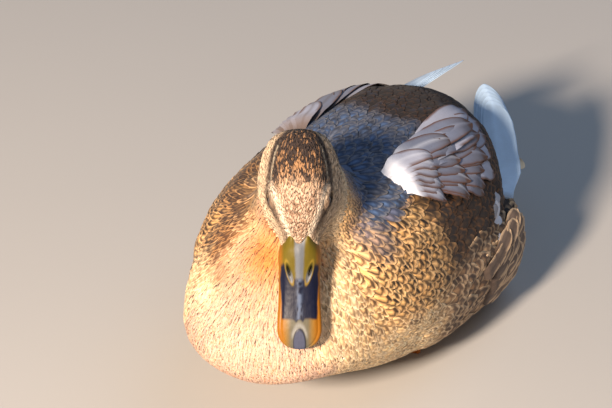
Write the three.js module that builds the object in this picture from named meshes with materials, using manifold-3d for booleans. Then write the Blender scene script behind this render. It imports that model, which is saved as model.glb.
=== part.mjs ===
// A pale hen duck of the mallard kind, life size, lying on its belly with its neck drawn in, its head turned
// to its left and its bill laid down towards its breast. The bird is a still model with no joints.
// Millimetres, +Z up. The bird faces -Y, its left side is +X, and it rests on the floor at z = 0. The origin
// is the point of the belly's flat that lies on the floor below the middle of the trunk.
import * as THREE from "three";
import { mergeVertices } from "three/addons/utils/BufferGeometryUtils.js";
import Module from "manifold-3d";

const wasm = await Module();
wasm.setup();

// ---------------------------------------------------------------- driving dimensions

const GAP = 0.3; // clearance between neighbouring pieces
const SIDES = { left: 1, right: -1 }; // the bird's left is +X

// Each trunk station is a section across the body: y is its place, level the height of its widest line, half
// its half-width there, and rise and drop the heights above and below that line.
const TRUNK = [
  { y: -141, level: 52, half: 0, rise: 0, drop: 0 },
  { y: -136, level: 52, half: 28, rise: 19, drop: 14 },
  { y: -122, level: 54, half: 45.5, rise: 35, drop: 22 },
  { y: -98, level: 54, half: 58, rise: 59, drop: 30 },
  { y: -62, level: 53, half: 68, rise: 75, drop: 44 },
  { y: -18, level: 53, half: 74, rise: 79, drop: 55 },
  { y: 30, level: 51, half: 74, rise: 78, drop: 56 },
  { y: 66, level: 48, half: 67, rise: 77, drop: 52 },
  { y: 94, level: 48, half: 53, rise: 67, drop: 42 },
  { y: 116, level: 50, half: 38, rise: 48, drop: 30 },
  { y: 137, level: 49, half: 25, rise: 24, drop: 17 },
  { y: 149, level: 44, half: 17, rise: 9, drop: 9 },
  { y: 155, level: 41, half: 0, rise: 0, drop: 0 },
];
// How boxy a section is, where 2 is an ellipse. Below, it eases from the breast's value to the belly's along Y.
const TRUNK_SQUARENESS = { above: 2.15, breast: 1.95, belly: 2.7, from: -125, to: -15 };

// A panel is a shallow leaf laid on the trunk. At each station it runs round the body from the angle top down
// to the angle low (degrees, 0 at the widest line and 90 at the ridge of the back), standing lift out of the
// trunk's surface.
const WING = [
  { y: -86, top: 30, low: 30, lift: 0 },
  { y: -80, top: 50, low: 10, lift: 2.5 },
  { y: -58, top: 68, low: -4, lift: 4 },
  { y: -20, top: 77, low: -12, lift: 2.5 },
  { y: 20, top: 80, low: -12, lift: 2.2 },
  { y: 54, top: 78, low: -6, lift: 2.2 },
  { y: 76, top: 70, low: 8, lift: 2.5 },
  { y: 92, top: 56, low: 24, lift: 2.5 },
  { y: 102, top: 42, low: 42, lift: 0 },
];
const FLANK = [
  { y: -46, top: -16, low: -16, lift: 0 },
  { y: -36, top: -4, low: -36, lift: 2 },
  { y: -8, top: 4, low: -54, lift: 4 },
  { y: 28, top: 6, low: -60, lift: 7 },
  { y: 60, top: 8, low: -58, lift: 12 },
  { y: 84, top: 8, low: -46, lift: 15 },
  { y: 101, top: 2, low: -30, lift: 12 },
  { y: 111, top: -14, low: -14, lift: 0 },
];
const PANEL_DEPTH = 7; // how far a panel reaches into the trunk
const PANEL_STEP = 0.3; // what is left of the lift and the depth at a panel's edge
const PANEL_END = 0.25; // the share of a panel's length over which its depth dies out at each end

// The folded primaries are one blade from under the wing to its tip, which lies over the rump. A place is
// given as [out from the middle, y, z], and lean is how far the blade lies over from upright, in degrees.
const PRIMARIES = {
  left: { root: [54, 74, 62], bend: [34, 112, 82], tip: [16, 144, 95], lean: 68 },
  right: { root: [54, 74, 64], bend: [31, 112, 90], tip: [3, 150, 104], lean: 57 },
  halfWidth: 18,
  halfThickness: 2.4,
  rootShare: 0.6, // the blade's width at its root, as a share of its full width
  taper: 0.42, // how much of its width it loses towards the tip
  thinning: 0.5,
  tipRoundness: 5,
};

// The tail is a fan. Arch is how far its sides hang below its middle, and bow how much shorter its sides are.
const TAIL = {
  rootY: 112,
  rootZ: 60,
  length: 74,
  droop: 24,
  rootHalf: 20,
  tipHalf: 40,
  halfThickness: 4,
  thinning: 0.72,
  tipRoundness: 8,
  arch: 5,
  bow: 8,
};

// The neck runs up from inside the trunk to the back of the head.
const NECK = [
  { x: -1, y: -36, z: 76, radius: 44 },
  { x: 4, y: -58, z: 100, radius: 40 },
  { x: 9, y: -74, z: 125, radius: 31 },
  { x: 13, y: -84, z: 146, radius: 22.5 },
  { x: 15, y: -89, z: 158, radius: 15 },
];

// The head's own frame faces -Y, with its origin in the middle of the skull.
const HEAD_PLACE = { x: 19.5, y: -102.2, z: 149, pitch: 59, turn: 28 };
const HEAD = [
  { y: 34, level: -1, half: 0, rise: 0, drop: 0 },
  { y: 31, level: -2, half: 14, rise: 13, drop: 11 },
  { y: 21, level: -4, half: 21.5, rise: 22, drop: 16 },
  { y: 6, level: -7, half: 25, rise: 28, drop: 16 },
  { y: -7, level: -8.5, half: 23.5, rise: 27.5, drop: 13 },
  { y: -18, level: -8.5, half: 17.5, rise: 20.5, drop: 11 },
  { y: -26, level: -8, half: 12.5, rise: 13.5, drop: 8.5 },
  { y: -31, level: -7.5, half: 9, rise: 8.5, drop: 6 },
  { y: -33, level: -7, half: 0, rise: 0, drop: 0 },
];
const HEAD_SQUARENESS = { above: 2.6, below: 2.3 };
// The crown's width as a share of the cheeks', and between which heights on a section it draws in.
const CROWN = { share: 0.68, from: -0.3, to: 0.45 };
const EYE = { x: 12.6, y: -5, z: 3.5, radius: 4.8 };

// The bill's stations run from inside the feathering to the nail, in the head's frame.
const BILL_SQUARENESS = { across: 2.5, up: 2.1 };
const BILL_UPPER = [
  { y: -20, level: -8, half: 0, rise: 0, drop: 0 },
  { y: -21, level: -8, half: 11, rise: 12.5, drop: 1.2 },
  { y: -30, level: -8.6, half: 11.2, rise: 11, drop: 1.3 },
  { y: -44, level: -9.4, half: 11, rise: 7.2, drop: 1.4 },
  { y: -60, level: -9.6, half: 11.3, rise: 4.6, drop: 1.4 },
  { y: -73, level: -9.6, half: 11.8, rise: 3.5, drop: 1.5 },
  { y: -81, level: -10, half: 8.6, rise: 2.8, drop: 1.6 },
  { y: -84.5, level: -10.8, half: 0, rise: 0, drop: 0 },
];
const BILL_LOWER = [
  { y: -19, level: -13, half: 0, rise: 0, drop: 0 },
  { y: -20, level: -13, half: 9, rise: 2.2, drop: 4 },
  { y: -34, level: -13.2, half: 9, rise: 1.6, drop: 2.6 },
  { y: -56, level: -13, half: 9, rise: 1.2, drop: 1.6 },
  { y: -72, level: -12.8, half: 9.2, rise: 1, drop: 1.4 },
  { y: -79, level: -12.8, half: 6.4, rise: 0.8, drop: 1.2 },
  { y: -81.5, level: -12.9, half: 0, rise: 0, drop: 0 },
];

// A foot lies flat under the belly with its toes forward, and the shank behind it.
const FOOT = {
  place: { x: 26, y: 22 },
  splay: 10,
  toes: [
    { angle: 24, length: 40 },
    { angle: 0, length: 48 },
    { angle: -24, length: 42 },
  ],
  toeRadius: { root: 2.8, tip: 1.5 },
  webThickness: 1.6,
  webDip: 0.84, // how far out the web's edge lies between two toes, as a share of their length
  shankLength: 44,
  shankRadius: { toes: 3.4, heel: 4.2 },
};

// ---------------------------------------------------------------- materials

const plumage = new THREE.MeshStandardMaterial({ color: 0xcfae84, roughness: 0.85, metalness: 0 });
const wingPlumage = new THREE.MeshStandardMaterial({ color: 0x8d7458, roughness: 0.8, metalness: 0 });
const flightPlumage = new THREE.MeshStandardMaterial({ color: 0xb9bcc4, roughness: 0.7, metalness: 0 });
const crownPlumage = new THREE.MeshStandardMaterial({ color: 0x9a7c5c, roughness: 0.85, metalness: 0 });
const billHorn = new THREE.MeshStandardMaterial({ color: 0xb98a2e, roughness: 0.4, metalness: 0 });
const eyeGlass = new THREE.MeshStandardMaterial({ color: 0x20130c, roughness: 0.1, metalness: 0 });
const footSkin = new THREE.MeshStandardMaterial({ color: 0xc96f2a, roughness: 0.6, metalness: 0 });

// ---------------------------------------------------------------- solids

// A geometry as a solid: its vertices are merged, and it is turned to face out if it came inside out.
function solidOf(geometry) {
  const bare = geometry.clone();
  for (const name of ["normal", "uv"]) bare.deleteAttribute(name);
  const merged = mergeVertices(bare, 1e-4);
  const vertProperties = new Float32Array(merged.attributes.position.array);
  const triVerts = new Uint32Array(merged.index.array);
  const made = new wasm.Manifold(new wasm.Mesh({ numProp: 3, vertProperties, triVerts }));
  if (made.volume() > 0) return made;
  return new wasm.Manifold(new wasm.Mesh({ numProp: 3, vertProperties, triVerts: triVerts.reverse() }));
}

function geometryOf(solid) {
  const { vertProperties, triVerts } = solid.getMesh();
  const geometry = new THREE.BufferGeometry();
  geometry.setAttribute("position", new THREE.BufferAttribute(new Float32Array(vertProperties), 3));
  geometry.setIndex(new THREE.BufferAttribute(new Uint32Array(triVerts), 1));
  geometry.computeVertexNormals();
  return geometry;
}

// The solid with each vertex moved out along its normal, which is what a neighbour is cut with.
function grown(solid, by = GAP) {
  const geometry = geometryOf(solid);
  const { position, normal } = geometry.attributes;
  for (let i = 0; i < position.count; i++) {
    position.setXYZ(
      i,
      position.getX(i) + by * normal.getX(i),
      position.getY(i) + by * normal.getY(i),
      position.getZ(i) + by * normal.getZ(i),
    );
  }
  return solidOf(geometry);
}

function moved(solid, matrix) {
  return solidOf(geometryOf(solid).applyMatrix4(matrix));
}

// Cuts a solid by its neighbours, each grown by the gap, and keeps the largest piece.
function cutBy(solid, neighbours) {
  const cut = neighbours.reduce((rest, other) => rest.subtract(grown(other)), solid);
  return cut.decompose().reduce((most, piece) => (piece.volume() > most.volume() ? piece : most));
}

// A closed skin over rings of points: each ring has as many points as the next, and the first and last rings
// are single points.
function skinOver(rings) {
  const around = rings[1].length;
  const points = rings.flat();
  const faces = [];
  const start = (i) => (i === 0 ? 0 : 1 + (i - 1) * around);
  for (let i = 1; i < rings.length - 2; i++) {
    for (let j = 0; j < around; j++) {
      const next = (j + 1) % around;
      const [a, b, c, d] = [start(i) + j, start(i) + next, start(i + 1) + j, start(i + 1) + next];
      faces.push(a, c, b, b, c, d);
    }
  }
  const last = points.length - 1;
  for (let j = 0; j < around; j++) {
    const next = (j + 1) % around;
    faces.push(0, start(1) + j, start(1) + next);
    faces.push(last, start(rings.length - 2) + next, start(rings.length - 2) + j);
  }
  const geometry = new THREE.BufferGeometry().setFromPoints(points);
  geometry.setIndex(faces);
  return solidOf(geometry);
}

// One column of a table of stations at t from 0 to 1, on a Catmull-Rom curve. Past each end the table is
// mirrored, where a size changes sign and a place doesn't, so a table whose ends have no size closes round.
function column(rows, name, t, isSize) {
  const place = Math.min(t * (rows.length - 1), rows.length - 1 - 1e-9);
  const i = Math.floor(place);
  const at = (k) => {
    if (k >= 0 && k < rows.length) return rows[k][name];
    const mirrored = rows[k < 0 ? -k : 2 * (rows.length - 1) - k][name];
    return isSize ? -mirrored : mirrored;
  };
  const [a, b, c, d] = [at(i - 1), at(i), at(i + 1), at(i + 2)];
  const f = place - i;
  return b + 0.5 * f * (c - a + f * (2 * a - 5 * b + 4 * c - d + f * (3 * (b - c) + d - a)));
}

// The share of a section's half-width or half-height at an angle, for a given squareness.
const bulge = (value, squareness) => Math.sign(value) * Math.abs(value) ** (2 / squareness);

function stationsOf(count) {
  return Array.from({ length: count }, (_, i) => i / (count - 1));
}

// A closed body whose sections across Y come from a table; shape(station, angle) gives [x, z] on a section.
function sectionsSolid(rows, count, around, shape) {
  const rings = stationsOf(count).map((t, i) => {
    const station = Object.fromEntries([
      ...["y", "level"].map((name) => [name, column(rows, name, t, false)]),
      ...["half", "rise", "drop"].map((name) => [name, Math.max(0, column(rows, name, t, true))]),
    ]);
    if (i === 0 || i === count - 1) return [new THREE.Vector3(0, station.y, station.level)];
    return Array.from({ length: around }, (_, j) => {
      const [x, z] = shape(station, (2 * Math.PI * j) / around);
      return new THREE.Vector3(x, station.y, z);
    });
  });
  return skinOver(rings);
}

// ---------------------------------------------------------------- trunk, wings, flanks and tail

function trunkSection({ y, half, rise, drop, level }, angle) {
  const up = Math.sin(angle);
  const { above, breast, belly, from, to } = TRUNK_SQUARENESS;
  const below = THREE.MathUtils.lerp(breast, belly, THREE.MathUtils.smoothstep(y, from, to));
  const squareness = up > 0 ? above : below;
  const x = half * bulge(Math.cos(angle), squareness);
  const z = level + (up > 0 ? rise : drop) * bulge(up, squareness);
  return [x, Math.max(z, 0)];
}

function makeTrunk() {
  return sectionsSolid(TRUNK, 23, 28, trunkSection);
}

// The trunk's station at a given y, found by halving, because the table's curve is followed by t.
const HALVINGS = 40;
function trunkAt(y) {
  let [low, high] = [0, 1];
  for (let i = 0; i < HALVINGS; i++) {
    const middle = (low + high) / 2;
    if (column(TRUNK, "y", middle, false) < y) low = middle;
    else high = middle;
  }
  const sizes = ["half", "rise", "drop"].map((name) => [name, column(TRUNK, name, low, true)]);
  return { y, level: column(TRUNK, "level", low, false), ...Object.fromEntries(sizes) };
}

// A leaf on the trunk's side. Its outer face stands lift off the trunk and its inner face lies PANEL_DEPTH
// inside, both drawn in towards the leaf's edges, where a low step is left.
function makePanel(rows, side, count = 14, across = 6) {
  const rings = stationsOf(count).map((t, i) => {
    const y = column(rows, "y", t, false);
    const top = column(rows, "top", t, false);
    const low = column(rows, "low", t, false);
    const lift = Math.max(0, column(rows, "lift", t, true));
    const station = trunkAt(y);
    const point = (share, out) => {
      const [x, z] = trunkSection(station, THREE.MathUtils.degToRad(top + (low - top) * share));
      const away = new THREE.Vector2(x, z - station.level).normalize().multiplyScalar(out);
      return new THREE.Vector3(side * (x + away.x), y, Math.max(z + away.y, 0));
    };
    if (i === 0 || i === count - 1) return [point(0.5, 0)];
    const shares = stationsOf(across + 1).map((share) => (1 - Math.cos(Math.PI * share)) / 2);
    const fullness = (share) => PANEL_STEP + (1 - PANEL_STEP) * Math.sqrt(1 - (2 * share - 1) ** 2);
    const depth = PANEL_DEPTH * Math.min(1, Math.min(t, 1 - t) / PANEL_END);
    const outer = shares.map((share) => point(share, lift * fullness(share)));
    const inner = shares.reverse().map((share) => point(share, -depth * fullness(share)));
    return [...outer, ...inner];
  });
  return skinOver(rings);
}

// The folded primaries: a flat oval section carried along a bend from the wing to the tip.
function makePrimaries(sideName, count = 10, around = 8) {
  const side = SIDES[sideName];
  const blade = PRIMARIES[sideName];
  const lean = THREE.MathUtils.degToRad(blade.lean);
  const place = ([x, y, z]) => new THREE.Vector3(side * x, y, z);
  const path = new THREE.QuadraticBezierCurve3(place(blade.root), place(blade.bend), place(blade.tip));
  const { halfWidth, halfThickness, rootShare, taper, thinning, tipRoundness } = PRIMARIES;
  const rings = stationsOf(count).map((t, i) => {
    const middle = path.getPoint(t);
    if (i === 0 || i === count - 1) return [middle];
    const along = path.getTangent(t);
    const inward = new THREE.Vector3(-side * Math.sin(lean), 0, Math.cos(lean));
    inward.projectOnPlane(along).normalize();
    const outward = new THREE.Vector3().crossVectors(along, inward);
    const half = halfWidth * Math.sqrt(1 - t ** tipRoundness) * Math.min(1, rootShare + t) * (1 - taper * t);
    return Array.from({ length: around }, (_, j) => {
      const angle = (2 * Math.PI * j) / around;
      return middle
        .clone()
        .addScaledVector(outward, halfThickness * (1 - thinning * t) * Math.sin(angle))
        .addScaledVector(inward, half * Math.cos(angle));
    });
  });
  return skinOver(rings);
}

// The tail: a fan that widens to its rounded tip, arched across, and drooping from its root.
function makeTail(count = 9, around = 14) {
  const droop = THREE.MathUtils.degToRad(TAIL.droop);
  const rings = stationsOf(count).map((t, i) => {
    const reach = TAIL.length * t;
    const half = THREE.MathUtils.lerp(TAIL.rootHalf, TAIL.tipHalf, t) * Math.sqrt(1 - t ** TAIL.tipRoundness);
    const thick = TAIL.halfThickness * (1 - TAIL.thinning * t);
    const middle = new THREE.Vector3(
      0,
      TAIL.rootY + reach * Math.cos(droop),
      TAIL.rootZ - reach * Math.sin(droop),
    );
    if (i === 0 || i === count - 1) return [middle];
    return Array.from({ length: around }, (_, j) => {
      const angle = (2 * Math.PI * j) / around;
      const x = half * Math.cos(angle);
      const outness = (x / TAIL.tipHalf) ** 2;
      const z = thick * Math.sin(angle) - TAIL.arch * outness;
      return middle.clone().add(new THREE.Vector3(x, -TAIL.bow * outness * t, z));
    });
  });
  return skinOver(rings);
}

// ---------------------------------------------------------------- head, bill and eyes

// A section of the head: wide at the cheeks, below the eyes, and drawn in to the crown above them.
function headSection({ half, rise, drop, level }, angle) {
  const up = Math.sin(angle);
  const squareness = up > 0 ? HEAD_SQUARENESS.above : HEAD_SQUARENESS.below;
  const drawnIn = THREE.MathUtils.smoothstep(up, CROWN.from, CROWN.to);
  const width = half * THREE.MathUtils.lerp(1, CROWN.share, drawnIn);
  return [width * bulge(Math.cos(angle), squareness), level + (up > 0 ? rise : drop) * bulge(up, squareness)];
}

const billSection = ({ half, rise, drop, level }, angle) => [
  half * bulge(Math.cos(angle), BILL_SQUARENESS.across),
  level + (Math.sin(angle) > 0 ? rise : drop) * bulge(Math.sin(angle), BILL_SQUARENESS.up),
];

function makeEye(side) {
  const ball = new THREE.SphereGeometry(EYE.radius, 14, 9);
  return solidOf(ball.translate(side * EYE.x, EYE.y, EYE.z));
}

function headMatrix() {
  const turn = new THREE.Euler(
    THREE.MathUtils.degToRad(HEAD_PLACE.pitch),
    0,
    THREE.MathUtils.degToRad(HEAD_PLACE.turn),
    "ZXY",
  );
  return new THREE.Matrix4()
    .makeRotationFromEuler(turn)
    .setPosition(HEAD_PLACE.x, HEAD_PLACE.y, HEAD_PLACE.z);
}

// The neck: round sections, each square to the path, with a closed dome at each end.
function makeNeck(count = 10, around = 22) {
  const path = new THREE.CatmullRomCurve3(NECK.map(({ x, y, z }) => new THREE.Vector3(x, y, z)));
  const rings = stationsOf(count).map((t, i) => {
    const middle = path.getPoint(t);
    if (i === 0 || i === count - 1) return [middle];
    const along = path.getTangent(t);
    const across = new THREE.Vector3(1, 0, 0).projectOnPlane(along).normalize();
    const front = new THREE.Vector3().crossVectors(along, across);
    const radius = column(NECK, "radius", t, false);
    return Array.from({ length: around }, (_, j) => {
      const angle = (2 * Math.PI * j) / around;
      return middle
        .clone()
        .addScaledVector(across, radius * Math.cos(angle))
        .addScaledVector(front, radius * Math.sin(angle));
    });
  });
  return skinOver(rings);
}

// ---------------------------------------------------------------- legs and feet

// A tapered rod lying on the floor from one point towards an angle, round at both ends. A margin makes it
// stouter all round, which gives the pocket it lies in.
function floorRod({ x, y, angle, length, start, end, margin }) {
  const profile = [];
  const [startRadius, endRadius] = [start + margin, end + margin];
  for (let i = 0; i <= 2; i++) {
    const turn = (Math.PI / 2) * (i / 2);
    profile.push(new THREE.Vector2(startRadius * Math.sin(turn), -startRadius * Math.cos(turn)));
  }
  for (let i = 0; i <= 2; i++) {
    const turn = (Math.PI / 2) * (i / 2);
    profile.push(new THREE.Vector2(endRadius * Math.cos(turn), length + endRadius * Math.sin(turn)));
  }
  const rod = new THREE.LatheGeometry(profile, 6);
  rod.rotateZ(Math.PI); // the rod's length now runs along -Y
  rod.rotateX(Math.asin((start - end) / length));
  rod.rotateZ(angle);
  return solidOf(rod.translate(x, y, start));
}

// Everything below the floor is cut off, which leaves small flats to rest on.
function onFloor(solid) {
  const block = solidOf(new THREE.BoxGeometry(400, 500, 100).translate(0, 0, -50));
  return solid.subtract(block);
}

// The webbed foot: three toes and the web between them, whose edge is drawn in between the toe tips.
function makeFoot(side, margin = 0) {
  const { x, y } = FOOT.place;
  const turnOf = (toe) => side * THREE.MathUtils.degToRad(FOOT.splay + toe.angle);
  const ahead = (turn, length) =>
    new THREE.Vector2(side * x + Math.sin(turn) * length, y - Math.cos(turn) * length);
  const { root, tip } = FOOT.toeRadius;
  const toes = FOOT.toes.map((toe) =>
    floorRod({ x: side * x, y, angle: turnOf(toe), length: toe.length, start: root, end: tip, margin }),
  );
  const web = new THREE.Shape();
  web.moveTo(side * x, y + 1);
  FOOT.toes.forEach((toe, i) => {
    const end = ahead(turnOf(toe), toe.length);
    if (i === 0) {
      web.lineTo(end.x, end.y);
      return;
    }
    const before = FOOT.toes[i - 1];
    const dip = ahead((turnOf(toe) + turnOf(before)) / 2, (FOOT.webDip * (toe.length + before.length)) / 2);
    web.quadraticCurveTo(dip.x, dip.y, end.x, end.y);
  });
  web.closePath();
  const sheet = new THREE.ExtrudeGeometry(web, {
    depth: FOOT.webThickness,
    curveSegments: 3,
    bevelEnabled: margin > 0,
    bevelSize: margin,
    bevelThickness: margin,
    bevelSegments: 1,
  });
  return toes.reduce((all, toe) => all.add(toe), solidOf(sheet));
}

function makeShank(side, margin = 0) {
  const { x, y } = FOOT.place;
  const angle = Math.PI + side * THREE.MathUtils.degToRad(FOOT.splay);
  const { toes, heel } = FOOT.shankRadius;
  const length = FOOT.shankLength;
  return floorRod({ x: side * x, y: y + 1, angle, length, start: toes, end: heel, margin });
}

// ---------------------------------------------------------------- assembly

function piece(name, solid, material) {
  const made = new THREE.Mesh(geometryOf(solid), material);
  made.name = name;
  return made;
}

const duck = new THREE.Group();
const sides = Object.values(SIDES);
const matrix = headMatrix();
const inHead = matrix.clone().invert();

const eyes = sides.map(makeEye);
const lowerBill = sectionsSolid(BILL_LOWER, 13, 14, billSection);
const upperBill = cutBy(sectionsSolid(BILL_UPPER, 16, 18, billSection), [lowerBill]);
const wholeHead = sectionsSolid(HEAD, 17, 22, headSection);
const head = cutBy(wholeHead, [upperBill, lowerBill, ...eyes]);

const shanks = sides.map((side) => onFloor(makeShank(side)));
const feet = sides.map((side) => onFloor(makeFoot(side).subtract(makeShank(side, GAP))));
const downwards = new THREE.Matrix4().makeTranslation(0, 0, -FOOT.shankRadius.heel);
const footPockets = sides
  .flatMap((side) => [makeFoot(side, GAP), makeShank(side, GAP)])
  .flatMap((pocket) => [pocket, moved(pocket, downwards)]);
const tail = makeTail();
const flanks = sides.map((side) => makePanel(FLANK, side));
const primaries = Object.keys(SIDES).map((name) => makePrimaries(name));
const wholeWings = sides.map((side) => makePanel(WING, side));
const wings = wholeWings.map((wing, i) => cutBy(wing, [flanks[i], primaries[i]]));
const wholeTrunk = makeTrunk();
const headInPlace = moved(wholeHead, matrix);
const bills = [upperBill, lowerBill];
const billsInPlace = bills.map((bill) => moved(bill, matrix));
const neck = cutBy(makeNeck(), [wholeTrunk, ...wholeWings, headInPlace, ...billsInPlace]);
const openTrunk = footPockets.reduce((rest, pocket) => rest.subtract(pocket), wholeTrunk);
const trunk = cutBy(openTrunk, [...flanks, ...wholeWings, ...primaries, tail, headInPlace]);
const blades = primaries.map((blade, i) => cutBy(blade, [flanks[i]]));

duck.add(piece("trunk", trunk, plumage));
duck.add(piece("neck", neck, plumage));
duck.add(piece("tail", tail, wingPlumage));
Object.keys(SIDES).forEach((name, i) => {
  duck.add(piece(`wing_${name}`, wings[i], wingPlumage));
  duck.add(piece(`primaries_${name}`, blades[i], flightPlumage));
  duck.add(piece(`flank_${name}`, flanks[i], plumage));
  duck.add(piece(`leg_${name}`, shanks[i], footSkin));
  duck.add(piece(`foot_${name}`, feet[i], footSkin));
});

const headGroup = new THREE.Group();
headGroup.applyMatrix4(matrix);
headGroup.add(piece("head", cutBy(head, [moved(wholeTrunk, inHead)]), crownPlumage));
headGroup.add(piece("bill_upper", upperBill, billHorn));
headGroup.add(piece("bill_lower", lowerBill, billHorn));
Object.keys(SIDES).forEach((name, i) => headGroup.add(piece(`eye_${name}`, eyes[i], eyeGlass)));
duck.add(headGroup);

export default duck;
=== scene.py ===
"""A hen duck lying on its belly, life size: skin, plumage, bill, eyes and feet over the packed model."""

import itertools
import math

import bpy
import numpy as np
from bpy.props import FloatProperty, FloatVectorProperty, PointerProperty
from bpy.types import Operator, Panel, PropertyGroup
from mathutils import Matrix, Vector
from mathutils.bvhtree import BVHTree
from mathutils.kdtree import KDTree


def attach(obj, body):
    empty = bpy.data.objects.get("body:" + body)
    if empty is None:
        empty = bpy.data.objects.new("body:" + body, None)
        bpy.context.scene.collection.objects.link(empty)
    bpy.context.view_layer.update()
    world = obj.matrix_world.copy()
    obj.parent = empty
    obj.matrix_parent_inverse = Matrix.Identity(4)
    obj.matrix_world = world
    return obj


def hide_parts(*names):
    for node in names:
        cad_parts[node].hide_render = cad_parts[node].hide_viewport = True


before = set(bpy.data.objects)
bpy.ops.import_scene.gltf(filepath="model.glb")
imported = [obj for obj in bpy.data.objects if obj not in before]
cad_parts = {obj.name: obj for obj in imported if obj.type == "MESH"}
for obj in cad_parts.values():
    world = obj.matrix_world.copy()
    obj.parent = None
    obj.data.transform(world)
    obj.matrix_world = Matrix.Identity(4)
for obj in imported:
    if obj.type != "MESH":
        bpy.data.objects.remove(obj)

bl_info = {
    "name": "Lying Duck",
    "version": (1, 0, 0),
    "blender": (4, 5, 0),
    "location": "View3D > Sidebar > Duck",
    "description": "Builds a lying hen duck, feather by feather, over its packed model",
    "category": "Add Mesh",
}

# ---------------- sizes, in millimetres: the solids' own, then the coat's

MM = 0.001
# seeds of the random draws; a side's row of long feathers adds its number
SEEDS = {"body roots": 3, "body": 4, "head roots": 5, "head": 6, "primaries": 8, "tail": 9,
         "scapulars": 20, "flanks": 40}
BODY = "root"
SIDES = ((1, "left"), (-1, "right"))
HEAD_AT = np.array([19.5, -102.2, 149.0])
HEAD_PITCH, HEAD_TURN = 59, 28
NECK_TOP = np.array([15.0, -89.0, 158.0])
NECK_FOOT = np.array([0.0, -48.0, 92.0])
EYE_AT = np.array([12.6, -5.0, 3.5])
EYE_RADIUS = 4.8
LID_TOP, LID_BOTTOM = 24, -24
FLESH = ["trunk", "neck", "head", "wing_left", "wing_right", "flank_left", "flank_right"]
# y', level, half width, rise, drop in the head's own axes
UPPER_BILL = np.array([
    (-20, -9, 6.5, 10.5, 1.2), (-26, -8.8, 9.2, 11.2, 1.3), (-31, -8.6, 10.9, 10.8, 1.3),
    (-44, -9.4, 11, 7.2, 1.4), (-60, -9.6, 11.3, 4.6, 1.4), (-72, -9.6, 11.9, 3.6, 1.5),
    (-84.5, -10.8, 11.9, 2.2, 1.6),
])
LOWER_BILL = np.array([
    (-19, -13, 9, 2.2, 4), (-34, -13.2, 9, 1.6, 2.6), (-56, -13, 9, 1.2, 1.6),
    (-70, -12.8, 9.3, 1, 1.4), (-81.5, -12.9, 9.3, 0.8, 1.2),
])
# [out, y, z] of the root, the bend and the tip of each folded set of primaries, and its lean
PRIMARIES = {
    1: ([54, 74, 62], [34, 112, 82], [16, 144, 95], 68),
    -1: ([54, 74, 64], [31, 112, 90], [3, 150, 104], 57),
}
TAIL_ROOT, TAIL_LENGTH, TAIL_DROOP = (112, 60), 74, 24
TAIL_HALVES = (20, 40)
# long blades: how many, half their width, and by what share of the length each primary steps back
TAIL_BLADES, TAIL_BLADE_HALF = 12, 9.5
PRIMARY_BLADES, PRIMARY_HALF, PRIMARY_LENGTH, PRIMARY_STEP = 5, 13.5, 110.0, 0.045
# the skin's voxels, its rounds of smoothing, and how far forward the bill is kept while it is made
SKIN_VOXEL, SKIN_ROUNDS, BILL_STUB = 2.2, 9, -33
# the coat: soft tufts where the gap is below the first; the breast's end, the back's level, and the
# lowest that a feather lies
FINE_GAP, BREAST_END, BACK_LEVEL, GROUND_GAP = 1.9, -62, 78, 0.25
# the rusty patch below the throat: its middle and its reach
RUST_AT, RUST_REACH = np.array([2.0, -105.0, 109.0]), 19
PATCH = 0.003  # side of a tuft's square on the unwrap
# how far over the bill the feathers reach, by the distance from the middle
BILL_EDGE = np.array([
    (0, -30.6), (1.5, -29.6), (3.2, -26), (4.6, -23.4), (5.6, -23.2), (7, -26.5), (8.6, -30), (10.6, -32.6),
    (14, -33.5),
])

# ---------------- numbers, fields and colours

DICE_COUNT = 4093
DICE = np.random.default_rng(7).random(DICE_COUNT)
LATTICE_STEPS, SEED_STEP, KEY_BITS = np.array([73856093, 19349663, 83492791]), 2654435, 0x7FFFFFFF


def smooth(low, high, x):
    """Eases from 0 at low to 1 at high: t squared times (3 - 2t), t being x's clamped share of the way."""
    t = np.clip((np.asarray(x, float) - low) / (high - low), 0, 1)
    return t * t * (3 - 2 * t)


def bell(x, width=1.0):
    """A smooth hump of height 1 at 0: e to the power of -(x / width) squared."""
    return np.exp(-((x / width) ** 2))


def between(a, b, share):
    """a where share is 0 and b where it is 1, in a straight line."""
    return a + (b - a) * share


def mix(a, b, share):
    """a where share is 0 and b where it is 1, with the share spread over a last axis of colours."""
    return a + (b - a) * np.asarray(share)[..., None]


def unit(v):
    """v over its own length, along the last axis."""
    return v / np.maximum(np.linalg.norm(v, axis=-1, keepdims=True), 1e-9)


def apart(p, q=0):
    """How far p lies from q."""
    return np.linalg.norm(p - q, axis=-1)


def to_left(p):
    """Places with those of the right side mirrored to the left, so that x is never below 0."""
    return p * np.where(p[..., :1] < 0, [-1, 1, 1], 1)


def flat_to(v, normal):
    """The part of v that lies in the plane across the normal, at length 1."""
    return unit(v - normal * (v * normal).sum(-1, keepdims=True))


def noise(p, size, seed):
    """Value noise from 0 to 1: random numbers on a cubic lattice, eased between the corners of a cell."""
    q = np.asarray(p, float) / size
    cell = np.floor(q).astype(np.int64)
    part = q - cell
    part = part * part * (3 - 2 * part)
    total = 0
    for corner in itertools.product((0, 1), repeat=3):
        key = np.bitwise_xor.reduce((cell + corner) * LATTICE_STEPS, -1) ^ (seed * SEED_STEP)
        total = total + DICE[(key & KEY_BITS) % DICE_COUNT] * np.where(corner, part, 1 - part).prod(-1)
    return total


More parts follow.
